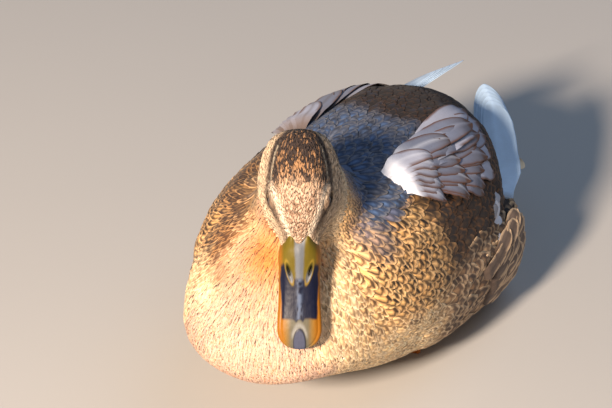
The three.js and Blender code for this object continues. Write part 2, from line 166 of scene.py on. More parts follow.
def hermite(table, x):
    """Each column of the table at x, by cubic pieces through its rows with the slope of their
    neighbours."""
    order = np.argsort(table[:, 0])
    xs, ys = table[order, 0], table[order, 1:]
    slope = np.gradient(ys, xs, axis=0)
    i = np.clip(np.searchsorted(xs, x) - 1, 0, len(xs) - 2)
    h = (xs[i + 1] - xs[i])[..., None]
    t = np.clip((x - xs[i]) / (xs[i + 1] - xs[i]), 0, 1)[..., None]
    return (
        ys[i] * (1 + 2 * t) * (1 - t) ** 2
        + h * slope[i] * t * (1 - t) ** 2
        + ys[i + 1] * t * t * (3 - 2 * t)
        + h * slope[i + 1] * t * t * (t - 1)
    )


def power(x, e):
    """|x| to the power e, keeping x's sign."""
    return np.sign(x) * np.abs(x) ** e


def hue(r, g, b):
    """A colour given as 0 to 255 on a screen, as linear light."""
    c = np.array([r, g, b]) / 255
    return np.where(c <= 0.04045, c / 12.92, ((c + 0.055) / 1.055) ** 2.4)


def tone(name):
    """A colour of the bird, from its property, as linear light."""
    return np.array(getattr(bpy.context.scene.duck_colours, name))


def turn(axis, degrees):
    """The matrix that turns by that many degrees about x (0), y (1) or z (2)."""
    c, s = math.cos(math.radians(degrees)), math.sin(math.radians(degrees))
    i, j = (axis + 1) % 3, (axis + 2) % 3
    m = np.eye(3)
    m[i, i], m[i, j], m[j, i], m[j, j] = c, -s, s, c
    return m


HEAD_AXES = turn(2, HEAD_TURN) @ turn(0, HEAD_PITCH)


def to_head(p):
    """Points of the whole bird in the head's own axes: -y is along the bill and +z is the crown."""
    return (np.asarray(p) - HEAD_AT) @ HEAD_AXES


def from_head(q):
    """Points in the head's own axes as points of the whole bird."""
    return np.asarray(q) @ HEAD_AXES.T + HEAD_AT


# ---------------- meshes from arrays


def quads_of(rows, columns, closed=False):
    """The four-cornered faces of a grid; if closed, its last column is joined to its first."""
    i = np.arange(rows - 1)[:, None] * columns
    j = np.arange(columns if closed else columns - 1)[None, :]
    k = (j + 1) % columns
    return np.stack([i + j, i + k, i + k + columns, i + j + columns], -1).reshape(-1, 4)


def vertex_normals(points, faces):
    """Each point's normal: the sum of the area vectors of the faces about it, at length 1."""
    across = np.cross(points[faces[:, 2]] - points[faces[:, 0]], points[faces[:, -1]] - points[faces[:, 1]])
    total = np.zeros_like(points)
    for c in range(3):
        for corner in faces.T:
            total[:, c] += np.bincount(corner, across[:, c], len(points))
    return unit(total)


def tube_faces(rows, around):
    """The faces of a tube of rings, with a fan at each end to the two points that follow the rings."""
    fan, poles, last = np.arange(around), rows * around, (rows - 1) * around
    after = np.roll(fan, -1)
    ends = ((after, fan, poles), (last + fan, last + after, poles + 1))
    caps = np.concatenate([np.stack([a, b, np.full(around, pole)], -1) for a, b, pole in ends])
    return [(quads_of(rows, around, True), True), (caps, True)]


def enclosed(points, faces):
    """Six times the volume inside faces, by triple products: below 0 if they point inwards."""
    return sum((points[f[:, :1]] * np.cross(points[f[:, 1:-1]], points[f[:, 2:]])).sum() for f in faces)


def placed(name, data):
    """A new object in the scene, at the origin."""
    made = bpy.data.objects.new(name, data)
    bpy.context.scene.collection.objects.link(made)
    return made


class Stock:
    """Arrays that grow into one mesh: points in millimetres, faces, and what each point carries."""

    def __init__(self):
        self.points, self.faces, self.count = [], [], 0
        self.carried = {"tint": [], "vane": [], "patch": []}

    def add(self, points, faces, tint, vane=None, patch=None):
        """Adds points (n, 3), a list of (faces, smooth) pairs, and a tint, a vane place and a patch for
        each point."""
        n = len(points)
        self.points.append(points)
        self.faces += [(np.asarray(f) + self.count, s) for f, s in faces]
        self.carried["tint"].append(np.broadcast_to(tint, (n, 3)))
        self.carried["vane"].append(np.zeros((n, 3)) if vane is None else vane)
        self.carried["patch"].append(np.zeros((n, 2)) if patch is None else patch)
        self.count += n

    def piece(self, name, material, slot, replaces=(), patched=True):
        """Makes the object, which rides on the body at the origin, with its faces outwards."""
        points = np.concatenate(self.points) * MM
        mesh = bpy.data.meshes.new(name)
        faces = [f for f, _ in self.faces]
        if enclosed(points, faces) < 0:
            faces = [np.roll(f[:, ::-1], 1, axis=1) for f in faces]
        corners = np.concatenate([f.ravel() for f in faces])
        sizes = np.concatenate([np.full(len(f), f.shape[1]) for f in faces])
        eased = np.concatenate([np.full(len(f), s) for f, s in self.faces])
        mesh.vertices.add(len(points))
        mesh.vertices.foreach_set("co", points.astype(np.float32).ravel())
        mesh.loops.add(len(corners))
        mesh.loops.foreach_set("vertex_index", corners.astype(np.int32))
        mesh.polygons.add(len(sizes))
        mesh.polygons.foreach_set("loop_start", (np.cumsum(sizes) - sizes).astype(np.int32))
        mesh.update(calc_edges=True)
        mesh.polygons.foreach_set("use_smooth", eased)
        carried = {key: np.concatenate(rows).astype(np.float32) for key, rows in self.carried.items()}
        tint = np.insert(np.clip(carried["tint"], 0, 1), 3, 1, axis=1)
        for layer, kind, key, values in (
            ("tint", "FLOAT_COLOR", "color", tint), ("vane", "FLOAT_VECTOR", "vector", carried["vane"]),
        ):
            mesh.attributes.new(layer, kind, "POINT").data.foreach_set(key, values.ravel())
        if patched:
            mesh.uv_layers.new(name="OFBake").data.foreach_set("uv", carried["patch"][corners].ravel())
        mesh.materials.append(material)
        made = placed(name, mesh)
        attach(made, BODY)
        if replaces:
            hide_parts(*replaces)


# ---------------- materials


class Value:
    """A shader value. Arithmetic on it adds Math nodes."""

    def __init__(self, finish, socket):
        self.finish, self.socket = finish, socket

    def maths(self, operation, *values):
        """The result of a Math node on values and numbers."""
        return self.finish.node("ShaderNodeMath", {"operation": operation}, dict(enumerate(values)))

    def __add__(self, other):
        return self.maths("ADD", self, other)

    def __sub__(self, other):
        return self.maths("SUBTRACT", self, other)

    def __rsub__(self, other):
        return self.maths("SUBTRACT", other, self)

    def __mul__(self, other):
        return self.maths("MULTIPLY", self, other)

    __radd__, __rmul__ = __add__, __mul__

    def size(self):
        """The value without its sign."""
        return self.maths("ABSOLUTE", self)

    def ease(self, low, high, start=0.0, end=1.0):
        """Start at low and end at high, eased between them."""
        settings = {"interpolation_type": "SMOOTHSTEP"}
        return self.finish.node("ShaderNodeMapRange", settings, {0: self, 1: low, 2: high, 3: start, 4: end})


class Finish:
    """A material made from a few nodes on one Principled shader."""

    def __init__(self, name, **uniform):
        self.material = bpy.data.materials.new(name)
        self.material.use_nodes = True
        self.tree = self.material.node_tree
        self.shader = self.tree.nodes["Principled BSDF"]
        for key, value in uniform.items():
            self.shader.inputs[key.replace("_", " ")].default_value = value

    def node(self, kind, settings=None, inputs=None, output=0):
        """Adds a node: its settings first, then the values or links of its sockets. Returns one output."""
        made = self.tree.nodes.new(kind)
        for key, value in (settings or {}).items():
            setattr(made, key, value)
        for key, value in (inputs or {}).items():
            if isinstance(value, Value):
                self.tree.links.new(value.socket, made.inputs[key])
            else:
                made.inputs[key].default_value = value
        return Value(self, made.outputs[output])

    def carried(self, name, output="Vector"):
        """What the mesh carries under that name."""
        return self.node("ShaderNodeAttribute", {"attribute_name": name}, output=output)

    def parts(self, vector):
        """The three numbers of a vector."""
        return [self.node("ShaderNodeSeparateXYZ", {}, {0: vector}, i) for i in range(3)]

    def joined(self, x, y, z):
        """A vector of three numbers."""
        return self.node("ShaderNodeCombineXYZ", {}, {0: x, 1: y, 2: z})

    def scaled(self, colour, by):
        """A colour made lighter or darker by a number."""
        return self.node("ShaderNodeVectorMath", {"operation": "SCALE"}, {0: colour, "Scale": by})

    def place(self):
        """Where the surface lies on its object."""
        return self.node("ShaderNodeTexCoord", {}, {}, "Object")

    def grain(self, vector, scale, detail=2.0, roughness=0.5):
        """Noise from 0 to 1."""
        inputs = {"Vector": vector, "Scale": scale, "Detail": detail, "Roughness": roughness}
        return self.node("ShaderNodeTexNoise", {}, inputs)

    def bump(self, height, distance, strength=1.0):
        """Feeds the shader's normal from a height."""
        made = self.node("ShaderNodeBump", {}, {"Height": height, "Distance": distance, "Strength": strength})
        self.tree.links.new(made.socket, self.shader.inputs["Normal"])

    def feed(self, socket, value):
        """Links a value to one of the shader's sockets."""
        self.tree.links.new(value.socket, self.shader.inputs[socket])

    def paint(self, shade):
        """Feeds the shader's colour: the mesh's tint, made lighter or darker by a shade about 1."""
        self.feed("Base Color", self.scaled(self.carried("tint", "Color"), shade))


def plumage_finish(name, streak, rough, barb=1.0, sheen=0.04):
    """Feather: the mesh's tint, broken by barbs that slant back from the shaft, with a soft sheen."""
    f = Finish(name, Roughness=rough, Specular_IOR_Level=0.2, Sheen_Weight=sheen, Sheen_Roughness=0.5)
    across, along, chance = f.parts(f.carried("vane"))
    slant = along - across.size() * 0.8
    grain = f.grain(f.joined(across * 0.35 * barb, slant * 1.5 * barb, chance * 90), 1.0, 3.0, 0.6)
    soft = f.grain(f.joined(across * 0.2, along * 0.12, chance * 90), 1.0, 1.0)
    f.paint(1 + (grain - 0.5) * streak + (soft - 0.5) * streak * 0.6)
    f.bump(grain, 0.0002, 0.4)
    return f.material


def skin_finish():
    """Down-covered skin under the feathers: the mesh's tint, mottled."""
    f = Finish("skin_down", Roughness=0.9, Specular_IOR_Level=0.15)
    grain = f.grain(f.place(), 600.0, 4.0)
    f.paint(0.84 + grain * 0.3)
    f.bump(grain, 0.0006, 0.6)
    return f.material


def horn_finish():
    """Bill horn: the mesh's tint under a thin gloss, faintly scratched along its length."""
    f = Finish("bill_horn", Specular_IOR_Level=0.25)
    across, along, _ = f.parts(f.carried("vane"))
    grain = f.grain(f.joined(across * 1.6, along * 0.25, 0.0), 1.0, 4.0, 0.6)
    blotch = f.grain(f.joined(across * 0.35, along * 0.3, 0.0), 1.0, 3.0, 0.6)
    f.paint(0.78 + grain * 0.28 + blotch * 0.18)
    f.feed("Roughness", 0.34 + grain * 0.22)
    f.bump(grain, 0.00015, 0.5)
    return f.material


def eye_finish():
    """Wet eye: the mesh's iris and pupil under a clear coat."""
    f = Finish("wet_eye", Roughness=0.08, Specular_IOR_Level=0.6, Coat_Weight=1.0, Coat_Roughness=0.02)
    f.feed("Base Color", f.carried("tint", "Color"))
    return f.material


def foot_finish():
    """Webbed foot: orange skin in small scales, darker between them."""
    f = Finish("foot_skin", Roughness=0.5, Specular_IOR_Level=0.4)
    place = f.place()
    cells = f.node("ShaderNodeTexVoronoi", {"feature": "DISTANCE_TO_EDGE"}, {"Vector": place, "Scale": 520.0})
    edge = cells.ease(0.0, 0.16)
    blotch = f.grain(place, 90.0, 3.0)
    # a colour Mix node's sockets: 0 is its factor, 6 and 7 are its colours, and output 2 is the mixed
    # colour
    inputs = {0: edge * (0.4 + blotch * 0.6), 6: (*(tone("foot") * 0.4), 1), 7: (*tone("foot"), 1)}
    f.feed("Base Color", f.node("ShaderNodeMix", {"data_type": "RGBA"}, inputs, 2))
    f.bump(edge, 0.0003, 0.7)
    return f.material


# ---------------- the skin and what lies on it

_kept = {}


def mesh_arrays(mesh):
    """A mesh's points, in millimetres, and the corners of its faces in one row."""
    co = np.empty(len(mesh.vertices) * 3, np.float32)
    mesh.vertices.foreach_get("co", co)
    loops = np.empty(len(mesh.loops), np.int32)
    mesh.loops.foreach_get("vertex_index", loops)
    return co.reshape(-1, 3).astype(float) / MM, loops


def node_shape(name):
    """A packed solid's points, merged, and its triangles."""
    co, loops = mesh_arrays(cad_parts[name].data)
    points, back = np.unique(np.round(co, 3), axis=0, return_inverse=True)
    return points, back.ravel()[loops].reshape(-1, 3)


def remeshed(points, faces, voxel):
    """One closed surface of quads round solids that touch or overlap, by a voxel remesh."""
    mesh = bpy.data.meshes.new("flesh")
    mesh.from_pydata((points * MM).tolist(), [], faces.tolist())
    made = placed("flesh", mesh)
    remesh = made.modifiers.new("whole", "REMESH")
    remesh.mode, remesh.voxel_size, remesh.adaptivity = "VOXEL", voxel * MM, 0
    whole = bpy.data.meshes.new_from_object(made.evaluated_get(bpy.context.evaluated_depsgraph_get()))
    co, loops = mesh_arrays(whole)
    bpy.data.objects.remove(made)
    bpy.data.meshes.remove(mesh)
    bpy.data.meshes.remove(whole)
    return co, loops.reshape(-1, 4)


def edges_of(faces):
    """The two ends of each side of four-cornered faces."""
    return np.concatenate([faces[:, [i, (i + 1) % 4]] for i in range(4)])


def largest(points, faces):
    """The biggest connected part: labels fall to the lowest of their neighbours until none changes."""
    edges = edges_of(faces)
    label = np.arange(len(points))
    while True:
        low = np.minimum(label[edges[:, 0]], label[edges[:, 1]])
        new = label.copy()
        np.minimum.at(new, edges[:, 0], low)
        np.minimum.at(new, edges[:, 1], low)
        new = new[new]
        if (new == label).all():
            break
        label = new
    keep = label == np.bincount(label).argmax()
    index = np.cumsum(keep) - 1
    return points[keep], index[faces[keep[faces[:, 0]]]]


def relaxed(points, faces, rounds):
    """Smooths by moving each point towards the middle of its neighbours and then a little further back."""
    edges = edges_of(faces)
    a, b = np.concatenate([edges, edges[:, ::-1]]).T
    count = np.bincount(a, minlength=len(points))[:, None]
    for i in range(2 * rounds):
        middle = np.stack([np.bincount(a, points[b, c], len(points)) for c in range(3)], 1) / count
        points = points + (middle - points) * (0.55 if i % 2 == 0 else -0.5)
    return points


def bill_edge(x):
    """How far forward feathers reach over the bill, at x across the head: a tongue between two horns."""
    return np.interp(np.abs(x), BILL_EDGE[:, 0], BILL_EDGE[:, 1])


def head_share(p):
    """1 on the head and 0 on the neck and body, eased between them."""
    middle, reach = [0, 1, -2], [27, 38, 25]
    return smooth(1.3, 0.98, apart((to_head(p) - middle) / reach))


def coat_depth(p):
    """How far the skin lies inside the solids: the depth of the coat at that place."""
    q = to_head(p)
    head = head_share(p)
    neck = smooth(60, 40, apart(p, HEAD_AT))
    depth = 3.3 - 0.9 * neck - 1.3 * smooth(122, 146, p[..., 1]) * smooth(40, 20, np.abs(p[..., 2] - 46))
    bare = head * smooth(0.6, -0.8, q[..., 1] - bill_edge(q[..., 0])) * smooth(-13, -9, q[..., 2])
    return depth * (1 - head) + 1.15 * head + 1.6 * bare


def skin():
    """The body under its feathers, made once: points, faces, and a finder of the nearest place on it."""
    if "skin" in _kept:
        return _kept["skin"]
    points, faces, count = [], [], 0
    for name in [*FLESH, "eye_left", "eye_right", "bill_upper", "bill_lower"]:
        p, f = node_shape(name)
        if name.startswith("bill"):
            q = to_head(p)
            q[:, 1] = np.maximum(q[:, 1], BILL_STUB)
            p = from_head(q)
        points.append(p)
        faces.append(f + count)
        count += len(p)
    p, f = largest(*remeshed(np.concatenate(points), np.concatenate(faces), SKIN_VOXEL))
    p = relaxed(p, f, SKIN_ROUNDS)
    p = p - vertex_normals(p, f) * coat_depth(p)[:, None]
    p = relaxed(p, f, 2)
    n = vertex_normals(p, f)
    tail_p, tail_f = node_shape("tail")
    tail_n = vertex_normals(tail_p, tail_f)
    wide_f = np.concatenate([f, np.concatenate([tail_f, tail_f[:, 2:]], 1) + len(p)])
    ground = BVHTree.FromPolygons(
        np.concatenate([p, tail_p - tail_n]).tolist(), f.tolist() + (tail_f + len(p)).tolist()
    )
    face_normals = unit(np.concatenate([n, tail_n])[wide_f].sum(1))
    _kept["skin"] = {"points": p, "faces": f, "ground": ground, "face_normals": face_normals}
    return _kept["skin"]


def onto(p):
    """The nearest places on the skin, and its normals there."""
    made = skin()
    flat = np.asarray(p, float).reshape(-1, 3)
    found = [made["ground"].find_nearest(q) for q in flat.tolist()]
    at = np.array([f[0] for f in found])
    return at.reshape(np.shape(p)), made["face_normals"][[f[2] for f in found]].reshape(np.shape(p))


def scattered(spacing, wanted, seed):
    """Roots over the skin: random places by area, thinned until none is within its spacing of another."""
    made = skin()
    rng = np.random.default_rng(seed)
    corners = made["points"][made["faces"]]
    middle = corners.mean(1)
    area = np.linalg.norm(np.cross(corners[:, 2] - corners[:, 0], corners[:, 3] - corners[:, 1]), axis=1) / 2
    gap = spacing(middle)
    share = area * wanted(middle) / gap**2
    total = int(share.sum() * 7)
    face = rng.choice(len(share), total, p=share / share.sum())
    u, v = rng.random((2, total, 1))
    c = corners[face]
    p = (c[:, 0] * (1 - u) + c[:, 1] * u) * (1 - v) + (c[:, 3] * (1 - u) + c[:, 2] * u) * v
    tree = KDTree(total)
    for i, q in enumerate(p.tolist()):
        tree.insert(q, i)
    tree.balance()
    gap, free, kept = spacing(p).tolist(), [True] * total, []
    for i, q in enumerate(p.tolist()):
        if free[i]:
            kept.append(i)
            for _, j, _ in tree.find_range(q, gap[i]):
                free[j] = False
    return p[kept]


def lie(p, n):
    """The way feathers point: back over the head, down the neck, out over the breast, back along the
    body."""
    head = head_share(p)
    q = to_head(p)
    back = HEAD_AXES[:, 1] - HEAD_AXES[:, 2] * (0.25 * smooth(2, -12, q[..., 2]))[..., None]
    down = unit(NECK_FOOT - NECK_TOP)
    out = unit(p - NECK_FOOT)
    near = np.exp(-np.maximum(apart(p, NECK_FOOT) - 40, 0) / 42)
    neck = smooth(0.3, -0.3, (p - NECK_FOOT) @ -down / 40 - 1.0)
    side = np.sign(p[..., 0]) * smooth(25, 50, np.abs(p[..., 0]))
    rearward = np.stack([0.12 * side, np.ones_like(side), 0.1 * smooth(60, 30, p[..., 2])], -1)
    body = out * (near * 1.5)[..., None] + rearward * (1 - 0.75 * near)[..., None]
    drop = smooth(-78, -122, p[..., 1]) * smooth(126, 108, p[..., 2])
    body = body - np.array([0, 0, 1.9]) * drop[..., None]
    body = mix(down * 1.2, body, neck)
    return flat_to(mix(body, back, head), n)


def crept(roots, lengths, way, steps, hold=0.4):
    """Lines that creep over the skin from their roots, following it and turning a little to the way."""
    p, n = onto(roots)
    d = flat_to(way(p, n), n)
    line, normals = [p], [n]
    for _ in range(steps):
        p, n = onto(p + d * (lengths / steps)[:, None])
        line.append(p)
        normals.append(n)
        d = flat_to(d * (1 - hold) + way(p, n) * hold, n)
    return np.stack(line, 1), np.stack(normals, 1)


def stations(rows):
    """Shares of a feather's length, from 0 to 1, that close up towards its tip: 1 - (1 - t)^1.5."""
    return 1 - (1 - np.linspace(0, 1, rows)) ** 1.5


def vane_grid(line, normals, shape, rows, columns, rng):
    """Feathers as grids. Row v and column u lie at a = v(1 - round |u|^2.2) along the line, u half-widths
    to its side, raised by base + rise a^0.8, settling again at the tip, and lowered at the edges by
    camber u^2."""
    count, steps = len(line), line.shape[1] - 1
    u = np.sin(np.linspace(-1, 1, columns) * np.pi / 2)[None, None, :]
    v = stations(rows)[None, :, None]
    ragged = 1 + shape["fray"] * (rng.random((count, 1, columns)) - 0.5) * v**3
    a = np.clip(v * (1 - shape["round"] * np.abs(u) ** 2.2 * v**1.5) * ragged, 0, 1)
    at = a * steps
    i = np.minimum(at.astype(int), steps - 1)
    part = (at - i)[..., None]
    row = np.arange(count)[:, None, None]
    spot = line[row, i] * (1 - part) + line[row, i + 1] * part
    up = unit(normals[row, i] * (1 - part) + normals[row, i + 1] * part)
    ahead = flat_to(line[row, i + 1] - line[row, i], up)
    aside = np.cross(ahead, up)
    full = shape["root"] + (1 - shape["root"]) * smooth(0, 0.5, v)
    full = full * (1 - shape["taper"] * smooth(0.55, 1, v))
    wide = (shape["width"][:, None, None] / 2) * u * full
    lift = shape["rise"][:, None, None] * a**0.8 * (1 - 0.35 * smooth(0.7, 1, a))
    lift = shape["base"][:, None, None] + lift
    lift = lift - shape["camber"] * shape["width"][:, None, None] / 2 * u**2 * full
    grid = spot + aside * wide[..., None] + up * lift[..., None]
    grid[..., 2] = np.maximum(grid[..., 2], GROUND_GAP)
    along, chance = a * shape["length"][:, None, None], rng.random((count, 1, 1))
    place = np.stack(np.broadcast_arrays(wide, along, chance), -1)
    return grid, u, v, place


def vane_faces(count, rows, columns):
    """Faces for many grids: the top, a flat underside from edge to edge, and a cap at each end."""
    top = quads_of(rows, columns)
    r = np.arange(rows - 1)
    left, right = r * columns, r * columns + columns - 1
    under = np.stack([left, left + columns, right + columns, right], -1)
    caps = np.stack([np.arange(columns)[::-1], (rows - 1) * columns + np.arange(columns)])
    start = (np.arange(count) * rows * columns)[:, None, None]
    made = ((top, True), (under, False), (caps, False))
    return [((f[None] + start).reshape(-1, f.shape[1]), s) for f, s in made]


def unwrapped(p):
    """Places on the skin's unwrap: the angle about the body's long axis, and the distance along it."""
    q = to_head(p)
    head = head_share(p) > 0.5
    turned = np.where(head, np.arctan2(q[..., 0], q[..., 2] + 4), np.arctan2(p[..., 0], p[..., 2] - 50))
    along = np.where(head, 0.985 - (q[..., 1] + 36) / 76 * 0.2, 0.03 + (p[..., 1] + 145) / 345 * 0.72)
    return np.stack([0.5 + turned / (2 * np.pi) * 0.98, along], -1)


def patches(roots, u, v):
    """Each feather's own square on the unwrap, about its root."""
    cell = np.stack(np.broadcast_arrays(u * PATCH / 2, (v - 0.5) * PATCH), -1)
    return unwrapped(roots)[:, None, None, :] + cell


def laid(stock, roots, line, normals, shape, rows, columns, paint, rng):
    """Adds feathers on those lines to a stock, painted by a function of the grid."""
    grid, u, v, place = vane_grid(line, normals, shape, rows, columns, rng)
    tint = np.broadcast_to(paint(u, v, rng.random((5, len(roots), 1, 1))), grid.shape)
    place = np.broadcast_to(place, grid.shape)
    stock.add(
        grid.reshape(-1, 3), vane_faces(len(roots), rows, columns), tint.reshape(-1, 3), place.reshape(-1, 3),
        patches(roots, u, v).reshape(-1, 2),
    )


# ---------------- markings, shared by skin and coat

# where a kind's colours and numbers stand in its row
GROUND, BAND_HUE, EDGE_HUE, SPOT_HUE = (slice(i, i + 3) for i in range(0, 12, 3))
SPACING, BAND, EDGE, SPOT, LENGTH, WIDTH = range(12, 18)

# band, edge and spot colours (the ground is a property); then spacing, the strength of band, edge and
# spot, and length and width over spacing
KINDS = {
    "breast": [(172, 128, 92), (214, 184, 156), (190, 112, 54), 1.12, 0.25, 0.5, 0.3, 7.0, 1.9],
    "speckled": [(104, 70, 50), (254, 228, 188), (46, 38, 35), 2.3, 0.45, 0.9, 0.5, 4.4, 2.2],
    "side": [(28, 23, 23), (248, 198, 138), (36, 30, 29), 3.7, 1.0, 1.0, 0.4, 3.5, 2.4],
    "flank": [(66, 55, 52), (202, 172, 138), (66, 54, 50), 4.6, 0.9, 0.9, 0.3, 3.8, 2.6],
    "belly": [(190, 148, 108), (228, 200, 170), (160, 112, 70), 3.6, 0.2, 0.4, 0.2, 4.2, 2.2],
    "shoulder": [(50, 40, 38), (166, 126, 84), (60, 48, 44), 2.4, 0.9, 1.0, 0.6, 5.0, 1.9],
    # the mantle's bluish band and spot also carry painted blue shade
    "mantle": [(48, 58, 80), (116, 114, 116), (46, 48, 58), 3.7, 0.7, 0.8, 0.4, 3.8, 2.1],
    "wing": [(36, 33, 35), (100, 69, 43), (44, 40, 44), 4.0, 0.85, 0.95, 0.4, 3.7, 2.4],
    "rump": [(27, 27, 32), (74, 50, 34), (44, 50, 68), 3.0, 0.7, 0.85, 0.5, 3.8, 2.1],
    "vent": [(130, 96, 68), (222, 198, 162), (112, 82, 60), 4.4, 0.6, 0.6, 0.4, 3.8, 2.2],
    "neck": [(76, 60, 50), (166, 138, 108), (66, 52, 44), 1.3, 0.5, 0.6, 0.6, 5.6, 1.8],
}


def kind_rows():
    """The table of kinds as numbers: four colours in linear light, then the six numbers of a row."""
    return {k: np.concatenate([tone(k)] + [hue(*c) for c in row[:3]] + [row[3:]]) for k, row in KINDS.items()}


def traits(p):
    """What the coat is like at a place: each kind is laid over the one before by its region's mask."""
    rows = kind_rows()
    wobble = np.stack([noise(p, 13, seed) - 0.5 for seed in (11, 12, 13)], -1) * 16
    x, y, z = np.moveaxis(p + wobble, -1, 0)
    out = np.abs(x)
    front = smooth(-70, -104, y - 0.5 * (z - 60))
    masks = {
        "belly": smooth(34, 22, z) * smooth(-110, -80, y),
        "speckled": smooth(10, 30, out + 0.3 * (y + 110)) * smooth(-124, -104, y),
        "side": smooth(56, 80, z + 0.2 * (y + 90)) * smooth(30, 50, out + 0.35 * (y + 95))
        * smooth(-104, -84, y),
        "shoulder": smooth(84, 104, z - 0.25 * (y + 100)) * smooth(8, 28, out) * smooth(-1, -6, x),
        "flank": smooth(-48, -18, y) * smooth(78, 64, z) * smooth(26, 46, out) * smooth(14, 24, z),
        "wing": smooth(-44, -16, y) * smooth(60, 72, z) * smooth(24, 36, out),
        "mantle": smooth(98, 112, z) * smooth(50, 38, out + 0.3 * (z - 118)) * smooth(-84, -66, y)
        * (1 - smooth(-12, -24, x) * smooth(-10, -40, y)),
        "rump": smooth(12, 32, y) * smooth(66, 84, z) * smooth(46, 34, out),
        "vent": smooth(86, 112, y) * smooth(58, 46, z),
        # behind the head and below the crown's level the neck's pale colour gives way to the mantle's dark
        # blue: partly the darker hind neck, partly the head's painted shadow
        "neck": smooth(56, 44, apart(p, HEAD_AT)) * (1 - 0.6 * front)
        * (1 - 0.8 * smooth(-94, -74, y) * smooth(142, 124, z)),
    }
    made = rows["breast"]
    for kind, mask in masks.items():
        made = mix(made, rows[kind], mask)
    return made


def off_line(p, *corners):
    """How far places lie from a line through corners, on whichever side of the bird they are."""
    q = to_left(p)
    best = np.full(q.shape[:-1], np.inf)
    for a, b in zip(np.array(corners[:-1], float), np.array(corners[1:], float)):
        t = np.clip((q - a) @ (b - a) / ((b - a) @ (b - a)), 0, 1)[..., None]
        best = np.minimum(best, apart(q - a, t * (b - a)))
    return best


def rusty(p):
    """How near a place is to the middle of the rusty patch below the throat, from 0 to 1."""
    return bell(apart(p, RUST_AT), RUST_REACH)


def body_paint(roots):
    """Paints body feathers: a dark band inside a pale edge near the tip, and sometimes a spot."""
    t = traits(roots)[:, None, None, :]
    cloud = 0.9 + 0.2 * noise(roots, 15, 5)[:, None, None]
    white = smooth(5, 3.2, off_line(roots, (69, 45, 78), (72, 40, 68), (76, 32, 58)))[:, None, None]
    # gap: a near-black strip between the folded wing and the flank, painted shadow in the gap between them
    gap = smooth(6, 4, off_line(roots, (66, 68, 67), (73, 53, 62), (77, 41, 57)))[:, None, None]
    rust = 0.9 * rusty(roots)[:, None, None]

    def paint(u, v, chance):
        reach = (np.abs(u) ** 2.4 + np.clip((v - 0.4) / 0.6, 0, 1) ** 2.4) ** (1 / 2.4)
        edge = smooth(0.67, 0.82, reach + 0.14 * (chance[1] - 0.5))
        band = smooth(0.25, 0.45, reach) * (1 - edge) * (0.62 + 0.38 * chance[2])
        spot = bell(v - 0.74, 0.13) * bell(u, 0.65) * (chance[1] < 0.6 * t[..., SPOT])
        c = mix(t[..., GROUND], t[..., EDGE_HUE], 0.6 * smooth(0.45, 0.95, chance[4]))
        c = mix(c, t[..., BAND_HUE], 1 - (1 - band * t[..., BAND]) ** 2)
        c = mix(c, t[..., SPOT_HUE], spot * (0.5 + 0.5 * chance[2]))
        c = mix(c, t[..., EDGE_HUE], edge * t[..., EDGE])
        # the rusty patch, the wing's white edge, and the near-black painted shadow between wing and flank
        for patch, share in ((hue(200, 122, 50), rust), (hue(206, 212, 226), white), (hue(26, 26, 34), gap)):
            c = mix(c, patch, share)
        c = c * (0.93 + 0.07 * smooth(0.2, 0.5, v))[..., None]
        warm = (chance[3] - 0.5)[..., None] * np.array([0.08, 0.0, -0.1])
        return c * (cloud * (0.9 + 0.2 * chance[0]))[..., None] * (1 + warm)

    return paint


def head_colours(p, chance):
    """The head's markings at its own places: dark streaked crown, pale brow lines that meet over the
    bill, dark eye line, pale cheeks and throat. The chance sets each tuft dark or pale."""
    x, y, z = np.moveaxis(to_head(p), -1, 0)
    out = np.abs(x)
    ragged = (noise(p, 3.0, 21) - 0.5) * 7 + (chance - 0.5) * 6
    dark, streak = tone("crown"), tone("crown_streak")
    fore, fleck = tone("forehead"), tone("fleck")
    crown = smooth(-4, 5, y + ragged + 6 * smooth(9, 13, out)) * smooth(3, 6.5, z + 0.06 * y)
    top = smooth(2, 5, z + 0.3 * np.maximum(-y - 14, 0)) * (1 - crown)
    c = mix(tone("cheek"), fleck, 0.5 * (chance < 0.34) * smooth(-17, -9, z))
    c = mix(c, hue(230, 204, 168), 0.8 * smooth(-9, -15, z))
    middle = smooth(-3, -10, y) * smooth(9, 5, out)
    c = mix(c, mix(fore, hue(126, 94, 72), 0.7 * (chance < 0.2 + 0.3 * middle)), top)
    share = 0.44 + 0.42 * smooth(2, 26, y) + 0.3 * smooth(9.5, 13, out) * smooth(-6, 4, y)
    light = mix(streak, fore, 0.45 * smooth(12, 0, y))
    crown_c = mix(light, dark, smooth(-0.12, 0.12, share - chance))
    nape = smooth(15, 24, y + ragged * 0.4) * smooth(13, 7, out)
    c = mix(c, crown_c, np.maximum(crown, nape * 0.9))
    line = 14.6 - np.maximum(0.8 - y, 0) * 0.39
    c = mix(c, tone("brow"), 0.95 * bell(out - line, 1.6) * smooth(3.5, 0, y) * smooth(-8, 0, z))
    lore = 15.4 - np.maximum(-4 - y, 0) * 0.4
    c = mix(c, fleck, 0.7 * bell(out - lore, 1.7) * smooth(-1, -5, y) * smooth(-31, -26, y))
    stripe = bell(z - 2.6 - 0.1 * y, 2.3) * smooth(-26, -12, y) * smooth(9, 12, out)
    c = mix(c, dark, 0.85 * stripe)
    pale = bell(z - 7.2 - 0.05 * y, 1.1) * smooth(2, 6, y) * smooth(26, 18, y) * smooth(9, 12, out)
    return mix(c, hue(196, 182, 160), 0.7 * pale)


def coat_colours(p, chance):
    """The plain colour of the coat at a place: the body's kinds, with the head's markings over them."""
    t = traits(p)
    body = mix(t[..., GROUND], t[..., SPOT_HUE], 0.3 * t[..., SPOT])
    body = mix(body, t[..., EDGE_HUE], 0.3)
    body = mix(body, hue(200, 126, 58), 0.8 * rusty(p))
    return mix(body, head_colours(p, chance), head_share(p))


# ---------------- coats


def make_skin():
    """The skin takes the place of the nodes of flesh and carries the coat's colours."""
    made, stock = skin(), Stock()
    p = made["points"]
    stock.add(p, [(made["faces"], True)], coat_colours(p, noise(p, 2.0, 31)))
    stock.piece("skin", skin_finish(), "body_plumage", FLESH, patched=False)


